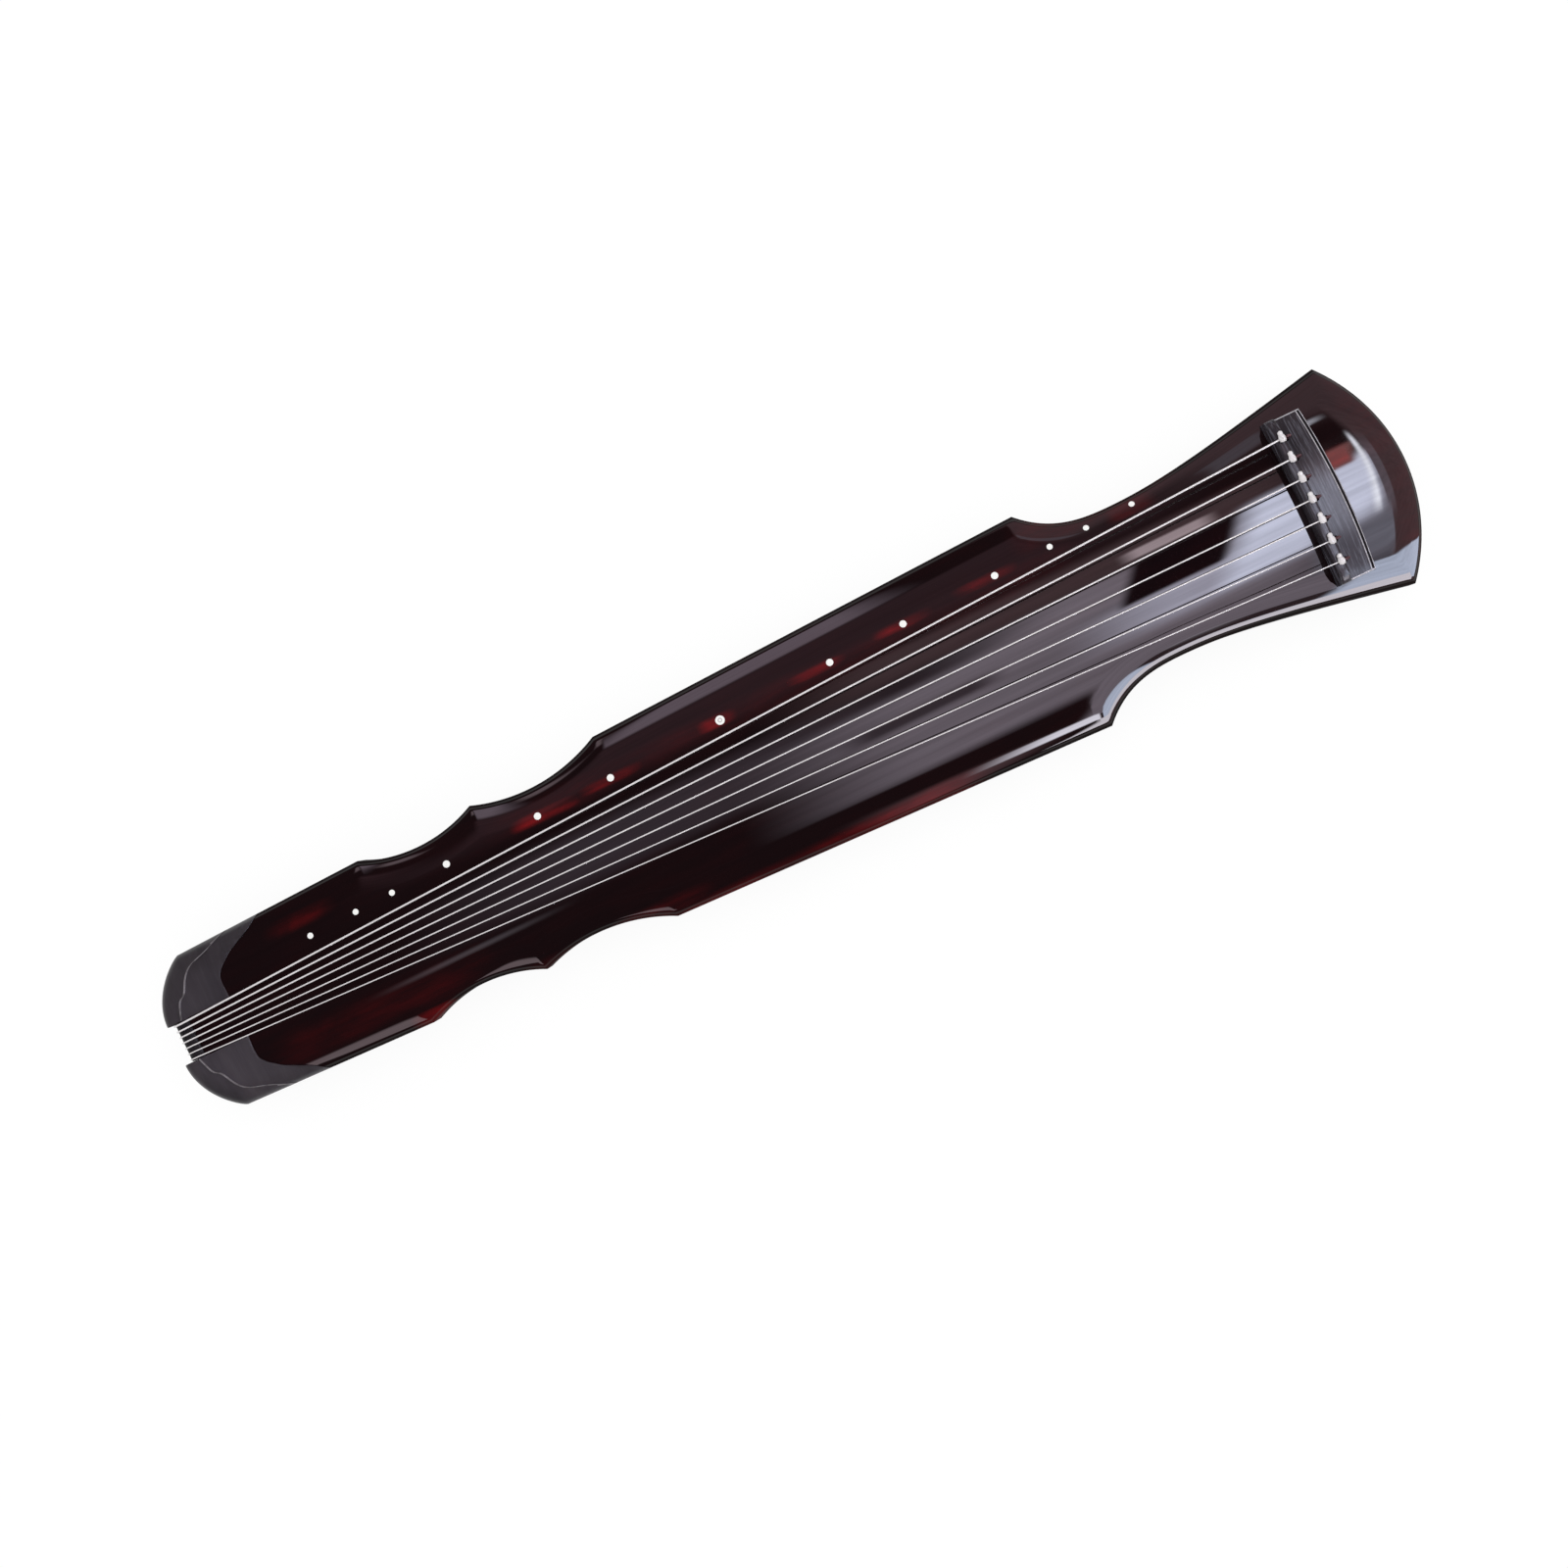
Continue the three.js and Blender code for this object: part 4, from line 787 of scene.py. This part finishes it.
def bevelled(piece, width, segments, angle):
    """Rounds a piece's sharp edges."""
    modifier = piece.modifiers.new("bevel", "BEVEL")
    modifier.width, modifier.segments, modifier.angle_limit = width, segments, math.radians(angle)
    keep_result(piece, modifier)
    smooth(piece)


def cross_bar(name, profile, half, material, x=0.0, y=0.0):
    """A bar across the instrument with the given side view, its middle at x and y."""
    rings = [[(x + run, y + end, z) for run, z in profile] for end in (-half, half)]
    return lofted(name, rings, material)


black_wood = grained("black_hardwood", (300, 40, 200), (3, 0.6, 0.3),
                     ((0.004, 0.0034, 0.004), (0.012, 0.01, 0.012)), (0.5, 0.1), Specular_IOR_Level=0.2)
upper_nut = cross_bar("upper_nut", [
    (notch_x, nut_floor), (nut_back, nut_floor), (nut_back, nut_top - string_rise / 2),
    (nut_back - string_rise, nut_top),
    *quarter(notch_x + nut_round, nut_top - nut_round, nut_round, np.pi / 2)], nut_half, black_wood)
under_nut = cross_bar("under_nut", [
    *quarter(notch_x + lower_round, lower_nut_bottom + lower_round, lower_round, np.pi),
    (nut_back, lower_nut_bottom), (nut_back, lower_nut_top), (notch_x, lower_nut_top)], nut_half, black_wood)
for nut, node in ((upper_nut, "tail_nut"), (under_nut, "lower_nut")):
    bevelled(nut, 0.0004, 2, 50)
    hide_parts(node)
    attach(nut, "instrument")

# Marker studs. Thirteen small discs of shell, let into the lacquer beside the first string at
# fixed shares of its length. They grow toward the middle one, which has a darker ring.
string_length, stud_dome, stud_depth, ringed = 1.12, 0.07, 0.0021, 6
stud_shares = np.array([1 / 8, 1 / 6, 1 / 5, 1 / 4, 1 / 3, 2 / 5, 1 / 2,
                        3 / 5, 2 / 3, 3 / 4, 4 / 5, 5 / 6, 7 / 8])
stud_xs = bridge_x - stud_shares * string_length
stud_ys = (0.0606 + (0.01675 - 0.0606) * stud_shares) + 0.0122 + (0.0163 - 0.0122) * stud_shares
stud_radii = np.array([5.5, 5.5, 5.5, 6.6, 6.6, 6.6, 8.6, 6.6, 6.6, 6.6, 5.5, 5.5, 5.5]) / 2000


def skin_at(x, y):
    """Height of the finished surface and its upward direction."""
    near = [(x, y), (x + 1e-4, y), (x, y + 1e-4)]
    heights = [float(surface_at(a, b, inset_at(np.array([a]), np.array([b])))[0]) for a, b in near]
    up = Vector((heights[0] - heights[1], heights[0] - heights[2], 1e-4)).normalized()
    return heights[0], up


stud_seats = [skin_at(x, y) for x, y in zip(stud_xs, stud_ys)]
for x, y, radius, (z, up) in zip(stud_xs, stud_ys, stud_radii, stud_seats):
    pocket = round_rod(0, 0, radius, -stud_depth, 0.002)
    pocket.transform(Matrix.Translation((x, y, z)) @ up.to_track_quat("Z", "Y").to_matrix().to_4x4())
    cut(soundboard, pocket)
smooth(soundboard)

pearl, tree = finish_named("shell_pearl")
swirl = tree.noise((260, 420, 300), 3, 0.6, 2.2)
ripple = tree.noise((900, 1500, 900), 2, 0.5, 1.5)
tint = tree.node("ShaderNodeValToRGB", {"Fac": swirl}, stops=(
    (0.3, (0.76, 0.8, 0.82)), (0.42, (0.95, 0.93, 0.91)), (0.52, (0.98, 0.98, 0.96)),
    (0.62, (0.88, 0.94, 0.91)), (0.72, (0.96, 0.9, 0.92))))
x, y, _ = tree.place().axes()
from_middle = ((x - float(stud_xs[ringed])) ** 2 + (y - float(stud_ys[ringed])) ** 2) ** 0.5
ring = from_middle.between(0.0010, 0.0014) * from_middle.between(0.0023, 0.0019)
tree.surface(
    Base_Color=tree.blend(ring * 0.75, tint, (0.28, 0.26, 0.27)),
    Roughness=0.22 + 0.15 * ripple,
    Coat_Weight=0.6, Coat_Roughness=0.08,
    Normal=tree.bump(swirl, 0.15, 0.0002),
)

group, tree, given = new_tree("inlaid_discs", ("Disc Depth", "Disc Dome"))
disc = tree.node("GeometryNodeMeshCylinder", {
    "Vertices": 40, "Side Segments": 1, "Fill Segments": 5, "Radius": 1.0, "Depth": given["Disc Depth"]},
    fill_type="TRIANGLE_FAN")
x, y, z = tree.node("GeometryNodeInputPosition").axes()
dome = given["Disc Dome"] * (1 - x * x - y * y) * z.between(-0.0001, 0.0001)
spot = tree.node("ShaderNodeCombineXYZ", {"X": x, "Y": y, "Z": z - given["Disc Depth"] / 2 + dome})
disc = tree.node("GeometryNodeSetPosition", {"Geometry": disc, "Position": spot})
up_field, size = [tree.node("GeometryNodeInputNamedAttribute", {"Name": label}, data_type=kind)
                  for label, kind in (("up", "FLOAT_VECTOR"), ("radius", "FLOAT"))]
lean = tree.node("FunctionNodeAlignRotationToVector", {"Vector": up_field}, axis="Z")
discs = tree.node("GeometryNodeInstanceOnPoints", {
    "Points": given["Geometry"], "Instance": disc, "Rotation": lean, "Scale": size})
end_tree(tree, discs, given["Material"])

stud_spots = [(x, y, z) for x, y, (z, _) in zip(stud_xs, stud_ys, stud_seats)]
stud_mesh = mesh_from("pearl_studs", stud_spots, [])
give(stud_mesh, "up", [up[:] for _, up in stud_seats], "FLOAT_VECTOR", "vector")
give(stud_mesh, "radius", stud_radii)
pearl_studs = run_tree(piece_from("pearl_studs", stud_mesh), group, {
    "Disc Depth": 0.5, "Disc Dome": stud_dome, "Material": pearl})
smooth(pearl_studs, 40)
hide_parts(*(f"stud_{i + 1}" for i in range(13)))
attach(pearl_studs, "instrument")

# Peg fittings. A hard plate roofs the well under the head and has a hole for each cord, and
# two blocks stand at the well's ends, so that the pegs never touch the table.
guard_y, guard_half, guard_foot_half, guard_corner = 0.087, 0.019, 0.014, 0.004

for node in ("peg_plate", "dragon_pond_rim", "phoenix_pool_rim"):
    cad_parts[node].data.materials[0] = satin_wood
for node in ("foot_block_far", "foot_block_near", "round_sound_post", "square_sound_post"):
    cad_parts[node].data.materials[0] = bare_wood

guard_low = guard_foot_half - guard_corner
guard_profile = ([(-guard_half, 0.0297), (-guard_half, 0.0262), (-0.0178, 0.018),
                  (-guard_foot_half, 0.0065)]
                 + [(-guard_low - guard_corner * math.cos(a), guard_corner * (1 - math.sin(a)))
                    for a in np.linspace(0, np.pi / 2, 7)])
guard_profile += [(-x, z) for x, z in guard_profile[::-1]]
for side_name, side in both_sides:
    guard = cross_bar(f"peg_guard_block_{side_name}", guard_profile, 0.006, satin_wood,
                      well_x, side * guard_y)
    bevelled(guard, 0.0011, 4, 30)
    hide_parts(f"peg_guard_{side_name}")
    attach(guard, "instrument")

# Goose feet. Two turned feet of hard wood whose tenons sit in the bottom board. The strings
# are wound on their necks, between the sole and the flare at the top.
foot_neck, foot_sole, foot_top = 0.008, 0.011, 0.0297
foot_profile = [(0.0098, 0), (0.0105, 0.0002), (0.0109, 0.0007), (foot_sole, 0.0013), (0.0109, 0.0019),
                (0.0105, 0.0024), (0.0098, 0.0028), (0.0090, 0.0034), (0.0084, 0.0040), (0.0081, 0.0044),
                (foot_neck, 0.0048), (foot_neck, 0.0272), (0.0081, 0.0277), (0.0086, 0.0283),
                (0.0094, 0.0287), (0.0099, 0.0290), (0.0100, 0.0293), (0.0098, 0.0296), (0.0095, foot_top),
                (tenon_radius, foot_top), (tenon_radius, 0.0492), (0.0056, 0.0498), (0.0052, 0.05)]
for side_name, side in both_sides:
    foot = lofted(f"turned_foot_{side_name}", [
        at_height(circle(foot_x, side * foot_y, radius, 48), z) for radius, z in foot_profile], satin_wood)
    smooth(foot, 40)
    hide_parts(f"goose_foot_{side_name}")
    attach(foot, "instrument")

# Tuning pegs. Seven turned pegs of dark red hardwood, fluted on the grip and bored for their
# cords. Each turns in the well, pressed against the plate by its cord.
peg_bottom, peg_top, pocket_depth, bore_radius, pocket_radius = 0.004, 0.0477, 0.007, 0.0022, 0.0042
flute_depth, flute_sides, side_hole_radius, side_hole_z = 0.11, 64, 0.0012, 0.0372

peg_wood, tree = finish_named("rubbed_rosewood")
grain = tree.noise((260, 260, 26), 5, 0.62, 0.8)
band = tree.noise((90, 90, 12), 2, 0.5, 0.4)
tree.surface(
    Base_Color=tree.blend(grain.between(0.3, 0.7), (0.05, 0.016, 0.011), (0.125, 0.045, 0.026)),
    Roughness=0.3 + 0.2 * band,
    Coat_Weight=0.35, Coat_Roughness=0.2,
    Normal=tree.bump(grain, 0.2, 0.0002),
)

peg_outside = [(0.0050, 0.0040), (0.0056, 0.0042), (0.0060, 0.0047), (0.0064, 0.0058), (0.0068, 0.0074),
               (0.0070, 0.0092), (0.0070, 0.0112), (0.0068, 0.0145), (0.0065, 0.0180), (0.0061, 0.0215),
               (0.0057, 0.0252), (0.0053, 0.0290), (0.0051, 0.0330), (0.0050, 0.0360), (0.0050, 0.0372),
               (0.0051, 0.0386), (0.0055, 0.0402), (0.0061, 0.0418), (0.0068, 0.0434), (0.0074, 0.0448),
               (0.0077, 0.0457), (0.0078, 0.0462), (0.0078, 0.0473), (0.0077, 0.0476), (0.0075, peg_top)]
peg_inside = [(bore_radius, peg_top), (bore_radius, peg_bottom + pocket_depth),
              (pocket_radius, peg_bottom + pocket_depth), (pocket_radius, peg_bottom + 0.0003),
              (pocket_radius + 0.0003, peg_bottom)]


def grip_flutes(z):
    """The flutes start above the rounded end and run out below the waist."""
    return flute_depth * max(0, min((z - 0.0046) / 0.002, 1)) * max(0, min((0.031 - z) / 0.008, 1))


flute_wave = np.abs(np.sin(4 * (2 * np.pi * np.arange(flute_sides) / flute_sides))) ** 1.5
for i, y in enumerate(string_ys):
    rings = [at_height(circle(holes_x, y, radius * (1 - grip_flutes(z) * flute_wave), flute_sides), z)
             for radius, z in peg_outside]
    rings += [at_height(circle(holes_x, y, radius, flute_sides), z) for radius, z in peg_inside]
    peg = lofted(f"fluted_peg_{i + 1}", rings, peg_wood, looped=True)
    side_hole = round_rod(0, 0, side_hole_radius, 0, 0.006, 16)
    side_hole.transform(Matrix.Translation((holes_x + 0.001, y, side_hole_z))
                        @ Matrix.Rotation(np.pi / 2, 4, "Y"))
    cut(peg, side_hole)
    smooth(peg, 38)
    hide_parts(f"tuning_peg_{i + 1}")
    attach(peg, f"peg_{i + 1}")

# Silk cords. Two strands of twisted silk come from behind each knot, pass the strip, the
# board and the peg, and end in a stop knot that the pull of the string holds in the pocket.
cord_radius, cord_pitch, stop_radius, stop_width, stop_turns = 0.0014, 0.0065, 0.0028, 0.0017, 3.2
silk = grained("twisted_silk", (2400, 2400, 700), (3, 0.6, 0.5),
               ((0.02, 0.005, 0.006), (0.09, 0.024, 0.026)), (0.55, 0.2), (0.35, 0.0002))

group, tree, given = new_tree(
    "laid_cord", ("Strand Radius", "Strand Offset", "Lay Length", "Step"), ("Sides",))
line = tree.node("GeometryNodeMeshToCurve", {"Mesh": given["Geometry"]})
line = tree.node("GeometryNodeResampleCurve", {"Curve": line, "Length": given["Step"]}, mode="LENGTH")
reach = tree.node("GeometryNodeSplineParameter", None, "Length")
line = tree.node("GeometryNodeSetCurveTilt", {
    "Curve": line, "Tilt": reach * (2 * math.pi) / given["Lay Length"]})
strand = tree.node("GeometryNodeCurvePrimitiveCircle", {
    "Resolution": given["Sides"], "Radius": given["Strand Radius"]})
asides = [tree.node("ShaderNodeCombineXYZ", {"X": given["Strand Offset"] * side}) for side in (1, -1)]
strands = [tree.node("GeometryNodeTransform", {"Geometry": strand, "Translation": aside}) for aside in asides]
section = tree.node("GeometryNodeJoinGeometry", {"Geometry": strands})
rope = tree.node("GeometryNodeCurveToMesh", {"Curve": line, "Profile Curve": section, "Fill Caps": True})
end_tree(tree, rope, given["Material"])


def polyline(name, lines):
    """A mesh of edge chains for a tree that sweeps a section along them."""
    points, edges = [], []
    for line in lines:
        edges += [(len(points) + k, len(points) + k + 1) for k in range(len(line) - 1)]
        points += list(line)
    return piece_from(name, mesh_from(name, points, [], edges))


def joined(name, *pieces):
    """One piece from several, whose objects are taken away."""
    points, faces = [], []
    for piece in pieces:
        faces += [tuple(len(points) + i for i in face.vertices) for face in piece.data.polygons]
        points += [vertex.co[:] for vertex in piece.data.vertices]
    mesh = mesh_from(name, points, faces)
    mesh.materials.append(pieces[0].data.materials[0])
    for piece in pieces:
        bpy.data.objects.remove(piece)
    return piece_from(name, mesh)


knot_back, knot_radius, knot_rise = 0.001, 0.003, 0.00285
cord_start = bridge_x + knot_back + knot_radius - 0.0002
pocket_roof = peg_bottom + pocket_depth
for i, y in enumerate(string_ys):
    top = float(bridge_top_at(y))
    bend = [(cord_start, y, top + 0.0003 + cord_radius),
            ((cord_start + holes_x) / 2, y, top + cord_radius / 2),
            (holes_x, y, top - 2 * cord_radius), (holes_x, y, peg_top), (holes_x, y, pocket_roof - 0.0007)]
    cord = run_tree(polyline("cord", [bend]), group, {
        "Strand Radius": cord_radius * 0.52, "Strand Offset": cord_radius * 0.48, "Lay Length": cord_pitch,
        "Step": 0.0005, "Sides": 10, "Material": silk})
    share = np.linspace(0, 1, 90)
    width = stop_width * np.sin(np.pi * (0.12 + 0.76 * share))
    angle = 2 * np.pi * stop_turns * share
    coil = np.column_stack([holes_x + width * np.cos(angle), y + width * np.sin(angle),
                            pocket_roof - 0.0003 - stop_radius + 0.0016 * np.cos(np.pi * share)])
    stop = run_tree(polyline("stop", [coil]), group, {
        "Strand Radius": 0.0006, "Strand Offset": 0.0003, "Lay Length": 0.004, "Step": 0.0004, "Sides": 8,
        "Material": silk})
    cord = joined(f"twisted_cord_{i + 1}", cord, stop)
    smooth(cord, 60)
    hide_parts(f"silk_cord_{i + 1}")
    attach(cord, "instrument")

# Strings. Seven wound strings, the outermost thickest. Each is tied in a two-lobed knot on the
# bridge, runs along the board and over the tail nut, and is wound on the neck of a foot.
string_widths = [0.0017, 0.00156, 0.0014, 0.00128, 0.00118, 0.00108, 0.001]
turn_gap_starts = [26.091, 20.013, 14.295, 8.958, 17.355, 22.003, 26.441]
turn_pitches = [2.459, 2.319, 2.159, 2.039, 1.939, 1.839, 1.759]
nut_span, string_lift, winding_turns, winding_steps = 0.0335, 0.0003, 1.5, 48
knot_spread, knot_squash, thickest_strand, cap_y, cap_radius = 1.16, 0.8, 0.0013, 0.0046, 0.0022

string_skin, tree = finish_named("wound_string")
wrap = tree.node("ShaderNodeTexWave", {"Vector": tree.place(), "Scale": 420.0, "Distortion": 0.0},
                 bands_direction="X")
sheen = tree.noise((30, 90, 90), 3, 0.5)
tree.surface(
    Base_Color=tree.blend(sheen, (0.66, 0.63, 0.64), (0.82, 0.79, 0.8)),
    Roughness=0.3 + 0.12 * sheen,
    Coat_Weight=0.5, Coat_Roughness=0.15,
    Normal=tree.bump(wrap, 0.15, 0.0001),
)

group, tree, given = new_tree("round_string", ("Diameter",), ("Sides",))
line = tree.node("GeometryNodeMeshToCurve", {"Mesh": given["Geometry"]})
section = tree.node("GeometryNodeCurvePrimitiveCircle", {
    "Resolution": given["Sides"], "Radius": given["Diameter"] / 2})
wire = tree.node("GeometryNodeCurveToMesh", {"Curve": line, "Profile Curve": section, "Fill Caps": True})
end_tree(tree, wire, given["Material"])


def coil_round_y(centre, start, end, radius_at, turns, steps=24):
    """A helix round a line across the instrument, as the loops of a knot lie."""
    share = np.linspace(0, 1, int(turns * steps) + 1)
    reach = start + (end - start) * share
    turn = 2 * np.pi * turns * share
    radii = radius_at(reach)
    return np.column_stack([centre[0] + knot_spread * radii * np.cos(turn), centre[1] + reach,
                            centre[2] + knot_squash * radii * np.sin(turn)])


def bead(centre, radii, material, rows=14, sides=20):
    """A small closed egg shape."""
    turn = 2 * np.pi * np.arange(sides) / sides
    rings = [[(centre[0] + radii[0] * math.sin(a) * math.cos(b), centre[1] + radii[1] * math.cos(a),
               centre[2] + radii[2] * math.sin(a) * math.sin(b)) for b in turn]
             for a in np.linspace(0.02, np.pi - 0.02, rows)]
    return lofted("bead", rings, material)


for i, (y, width) in enumerate(zip(string_ys, string_widths)):
    side = 1 if i < 4 else -1
    nut_y = nut_span / 2 - i * nut_span / 6
    over = string_lift + width / 2
    top = float(bridge_top_at(y))
    knot = (bridge_x + knot_back, y, top + knot_rise)
    route = [(knot[0], y, top + over), (bridge_x, y, top + over)]
    route += [(x, nut_y, z) for x, z in (
        *quarter(notch_x + nut_round, nut_top - nut_round, nut_round + over, np.pi / 2),
        *quarter(notch_x + lower_round, lower_nut_bottom + lower_round, lower_round + over, np.pi))]
    centre = np.array([foot_x, side * foot_y])
    radius = foot_neck + over
    to_centre = centre - np.array(route[-1][:2])
    heading = math.atan2(to_centre[1], to_centre[0]) - side * math.asin(radius / np.hypot(*to_centre))
    for k in range(int(winding_turns * winding_steps) + 1):
        a = heading - side * np.pi / 2 + side * 2 * np.pi * k / winding_steps
        route.append((centre[0] + radius * math.cos(a), centre[1] + radius * math.sin(a),
                      (turn_gap_starts[i] - turn_pitches[i] * k / winding_steps) / 1000))
    strand = min(width, thickest_strand)
    lobe = coil_round_y(knot, -0.0028, 0.0028, lambda v: (knot_radius - strand / 2) * np.sqrt(
        np.maximum(1 - (v / 0.0044) ** 2, 0)), 4.5)
    cap = coil_round_y(knot, 0.0036, 0.0062, lambda v: (cap_radius - strand / 2) * np.sqrt(
        np.maximum(1 - ((v - cap_y) / 0.0030) ** 2, 0)), 3)
    wire = run_tree(polyline("wire", [route]), group, {
        "Diameter": width, "Sides": 16, "Material": string_skin})
    loops = run_tree(polyline("loops", [lobe, cap]), group, {
        "Diameter": strand, "Sides": 12, "Material": string_skin})
    core = knot_radius - strand * 0.35
    string = joined(f"wound_string_{i + 1}", wire, loops,
                    bead(knot, (knot_spread * core, 0.0036, knot_squash * core), string_skin),
                    bead((knot[0], y + cap_y, knot[2]), (0.0018, 0.0026, 0.0018), string_skin))
    smooth(string, 50)
    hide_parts(f"string_{i + 1}")
    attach(string, "instrument")

# Studio. A pale table in a white surround. A soft lamp overhead lights the table, and a wide
# cloth above it, lit in soft patches, is what the polished lacquer mirrors.
floor_paper, tree = finish_named("studio_paper")
seen = tree.node("ShaderNodeLightPath", None, "Is Camera Ray")
seen = (seen + seen.also("Is Glossy Ray") + seen.also("Is Transmission Ray")).between(0, 1)
paper_tone = tree.node("ShaderNodeBsdfDiffuse", {"Color": (0.8, 0.8, 0.8, 1)})
paper_white = tree.node("ShaderNodeEmission", {"Color": (1, 1, 1, 1), "Strength": 1.05})
paper = tree.node("ShaderNodeMixShader", {0: seen * 0.86, 1: paper_tone, 2: paper_white})
tree.node("ShaderNodeOutputMaterial", {"Surface": paper})


def sheet(name, half, height, material):
    corners = [(x * half, y * half, height) for x, y in ((-1, -1), (1, -1), (1, 1), (-1, 1))]
    mesh = mesh_from(name, corners, [(0, 1, 2, 3)])
    mesh.materials.append(material)
    return piece_from(name, mesh)


floor = sheet("studio_floor", 8, 0, floor_paper)

cloth_light, tree = finish_named("studio_cloth")
cloth_colour = (0.05, 0.025, 0.03)
for edges, light in (
        ((1.66, 12, -9, 1.6, 0.1, 0.4), (0.6, 0.38, 0.42)),
        ((-6.6, -0.72, -8, -0.95, 0.15, 0.1, -2.33), (5.3, 5.9, 7.5)),
        ((-12, 1.04, -9, -0.9, 0.08, 0.04), (0.05, 0.025, 0.03)),
        ((-0.9, 1.1, 0.7, 2.2, 0.5, 0.4), (0.26, 0.14, 0.17)),
        ((-0.6, 0.35, 2.35, 6, 0.3, 0.5), (1.4, 1.1, 1.35)),
        ((-1.25, -0.75, 3.2, 5, 0.3, 0.4), (1.2, 0.9, 1)),
        ((-0.75, 0.3, -0.3, 0.3, 0.6, 0.3), (0.4, 0.32, 0.4)),
        ((-1.02, -0.7, -0.46, -0.41, 0.3, 0.05), (0.8, 0.7, 0.8)),
        ((0.05, 1.45, -0.86, 0.1, 0.5, 0.14), (1.75, 1.5, 1.8)),
        ((0.5, 1.3, 0, 0.3, 0.5, 0.1), (2.05, 1.75, 2.1)),
        ((0.1, 1.45, 0.3, 0.62, 0.4, 0.12), (0.6, 0.38, 0.42)),
        ((0.12, 0.46, -0.25, -0.12, 0.12, 0.08), (0.4, 0.32, 0.4)),
        ((0.82, 1.7, -0.46, -0.1, 0.4, 0.2), (4.6, 4.5, 5.6)),
        ((1.2, 1.66, -0.42, 0.34, 0.14, 0.16, 0.2), (7.8, 8.1, 10.1)),
        ((0.86, 1.17, -0.12, 0.33, 0.05, 0.05, 0.2), (0.03, 0.02, 0.03)),
        ((0.92, 1.16, 0.35, 0.45, 0.08, 0.04), (4.8, 3.8, 4.1)),
        ((1.64, 2, -0.5, 0.5, 0.1, 0.4), (1.1, 0.92, 1.1)),
        ((1.2, 12, 1, 9, 0.4, 0.4), (0.5, 0.32, 0.36)),
        ((1.4, 1.75, -0.95, -0.4, 0.1, 0.4), (1.6, 1.6, 2)),
        ((0.72, 1.46, -2.5, -0.8, 0.1, 0.1), (1.75, 1.5, 1.8)),
        ((0.72, 1.46, -3.25, -2.45, 0.1, 0.15), (0.25, 0.17, 0.2)),
        ((0.9, 3.3, -7, -3.25, 0.1, 0.15), (7.6, 7.2, 7.9)),
        ((1.4, 1.56, 0.27, 0.52, 0.03, 0.06, 0.1), (2, 0.8, 0.8)),
        ((1.598, 1.621, -0.35, 0.6, 0.025, 0.2, 0.04), (11, 11.2, 12.5)),
        ((1.54, 1.6, 0.93, 0.99, 0.06, 0.05), (4, 4, 4.6)),
        ((0.1, 0.62, -8, -2.3, 0.4, 0.8), (0.7, 0.4, 0.45)),
        ((0.5, 1.05, -3.25, -2.35, 0.35, 0.3), (9.5, 9.2, 10.4)),
        ((1.24, 1.44, 1.1, 2.3, 0.06, 0.3), (0.7, 0.6, 0.72)),
        ((-2.8, -1.72, -1.6, 0.7, 0.1, 0.3), (0.9, 0.75, 0.95)),
        ((-1.95, -1.36, -4.8, -2.4, 0.1, 0.4), (1.55, 1.2, 1.3))):
    cloth_colour = tree.blend(tree.patch(*edges), cloth_colour, light)
weave = tree.noise((1.6, 15, 1), 3, 0.6).between(0.34, 0.66)
cloth_glow = tree.node("ShaderNodeEmission", {
    "Color": cloth_colour, "Strength": 1.55 * (0.88 + 0.24 * weave)})
tree.node("ShaderNodeOutputMaterial", {"Surface": cloth_glow})
cloth_light.cycles.emission_sampling = "NONE"
cloth = sheet("studio_cloth", 12, 2.48, cloth_light)
cloth.visible_camera = cloth.visible_diffuse = cloth.visible_shadow = cloth.visible_transmission = False

lamp = bpy.data.lights.new("overhead_lamp", "AREA")
lamp.shape, lamp.size, lamp.size_y = "RECTANGLE", 2.4, 1.6
lamp.energy = 0.95 * math.pi * lamp.size * lamp.size_y
lamp_box = piece_from("overhead_lamp", lamp)
lamp_box.location = (0.6, 0.3, 2.3)
lamp_box.visible_camera = lamp_box.visible_glossy = False

world = bpy.data.worlds.new("studio_surround")
world.use_nodes = True
tree = Tree(world.node_tree)
seen = tree.node("ShaderNodeLightPath", None, "Is Camera Ray")
glossy = seen.also("Is Glossy Ray")
mirrored = 0.9 - 0.87 * tree.place("Generated").axes()[2].between(0, 0.25)
level = seen + (1 - seen) * (glossy * mirrored + (1 - glossy) * 0.88)
sky = tree.node("ShaderNodeBackground", {"Color": (1, 1, 1, 1), "Strength": level})
tree.node("ShaderNodeOutputWorld", {"Surface": sky})
bpy.context.scene.world = world
bpy.context.scene.view_settings.view_transform = "Standard"
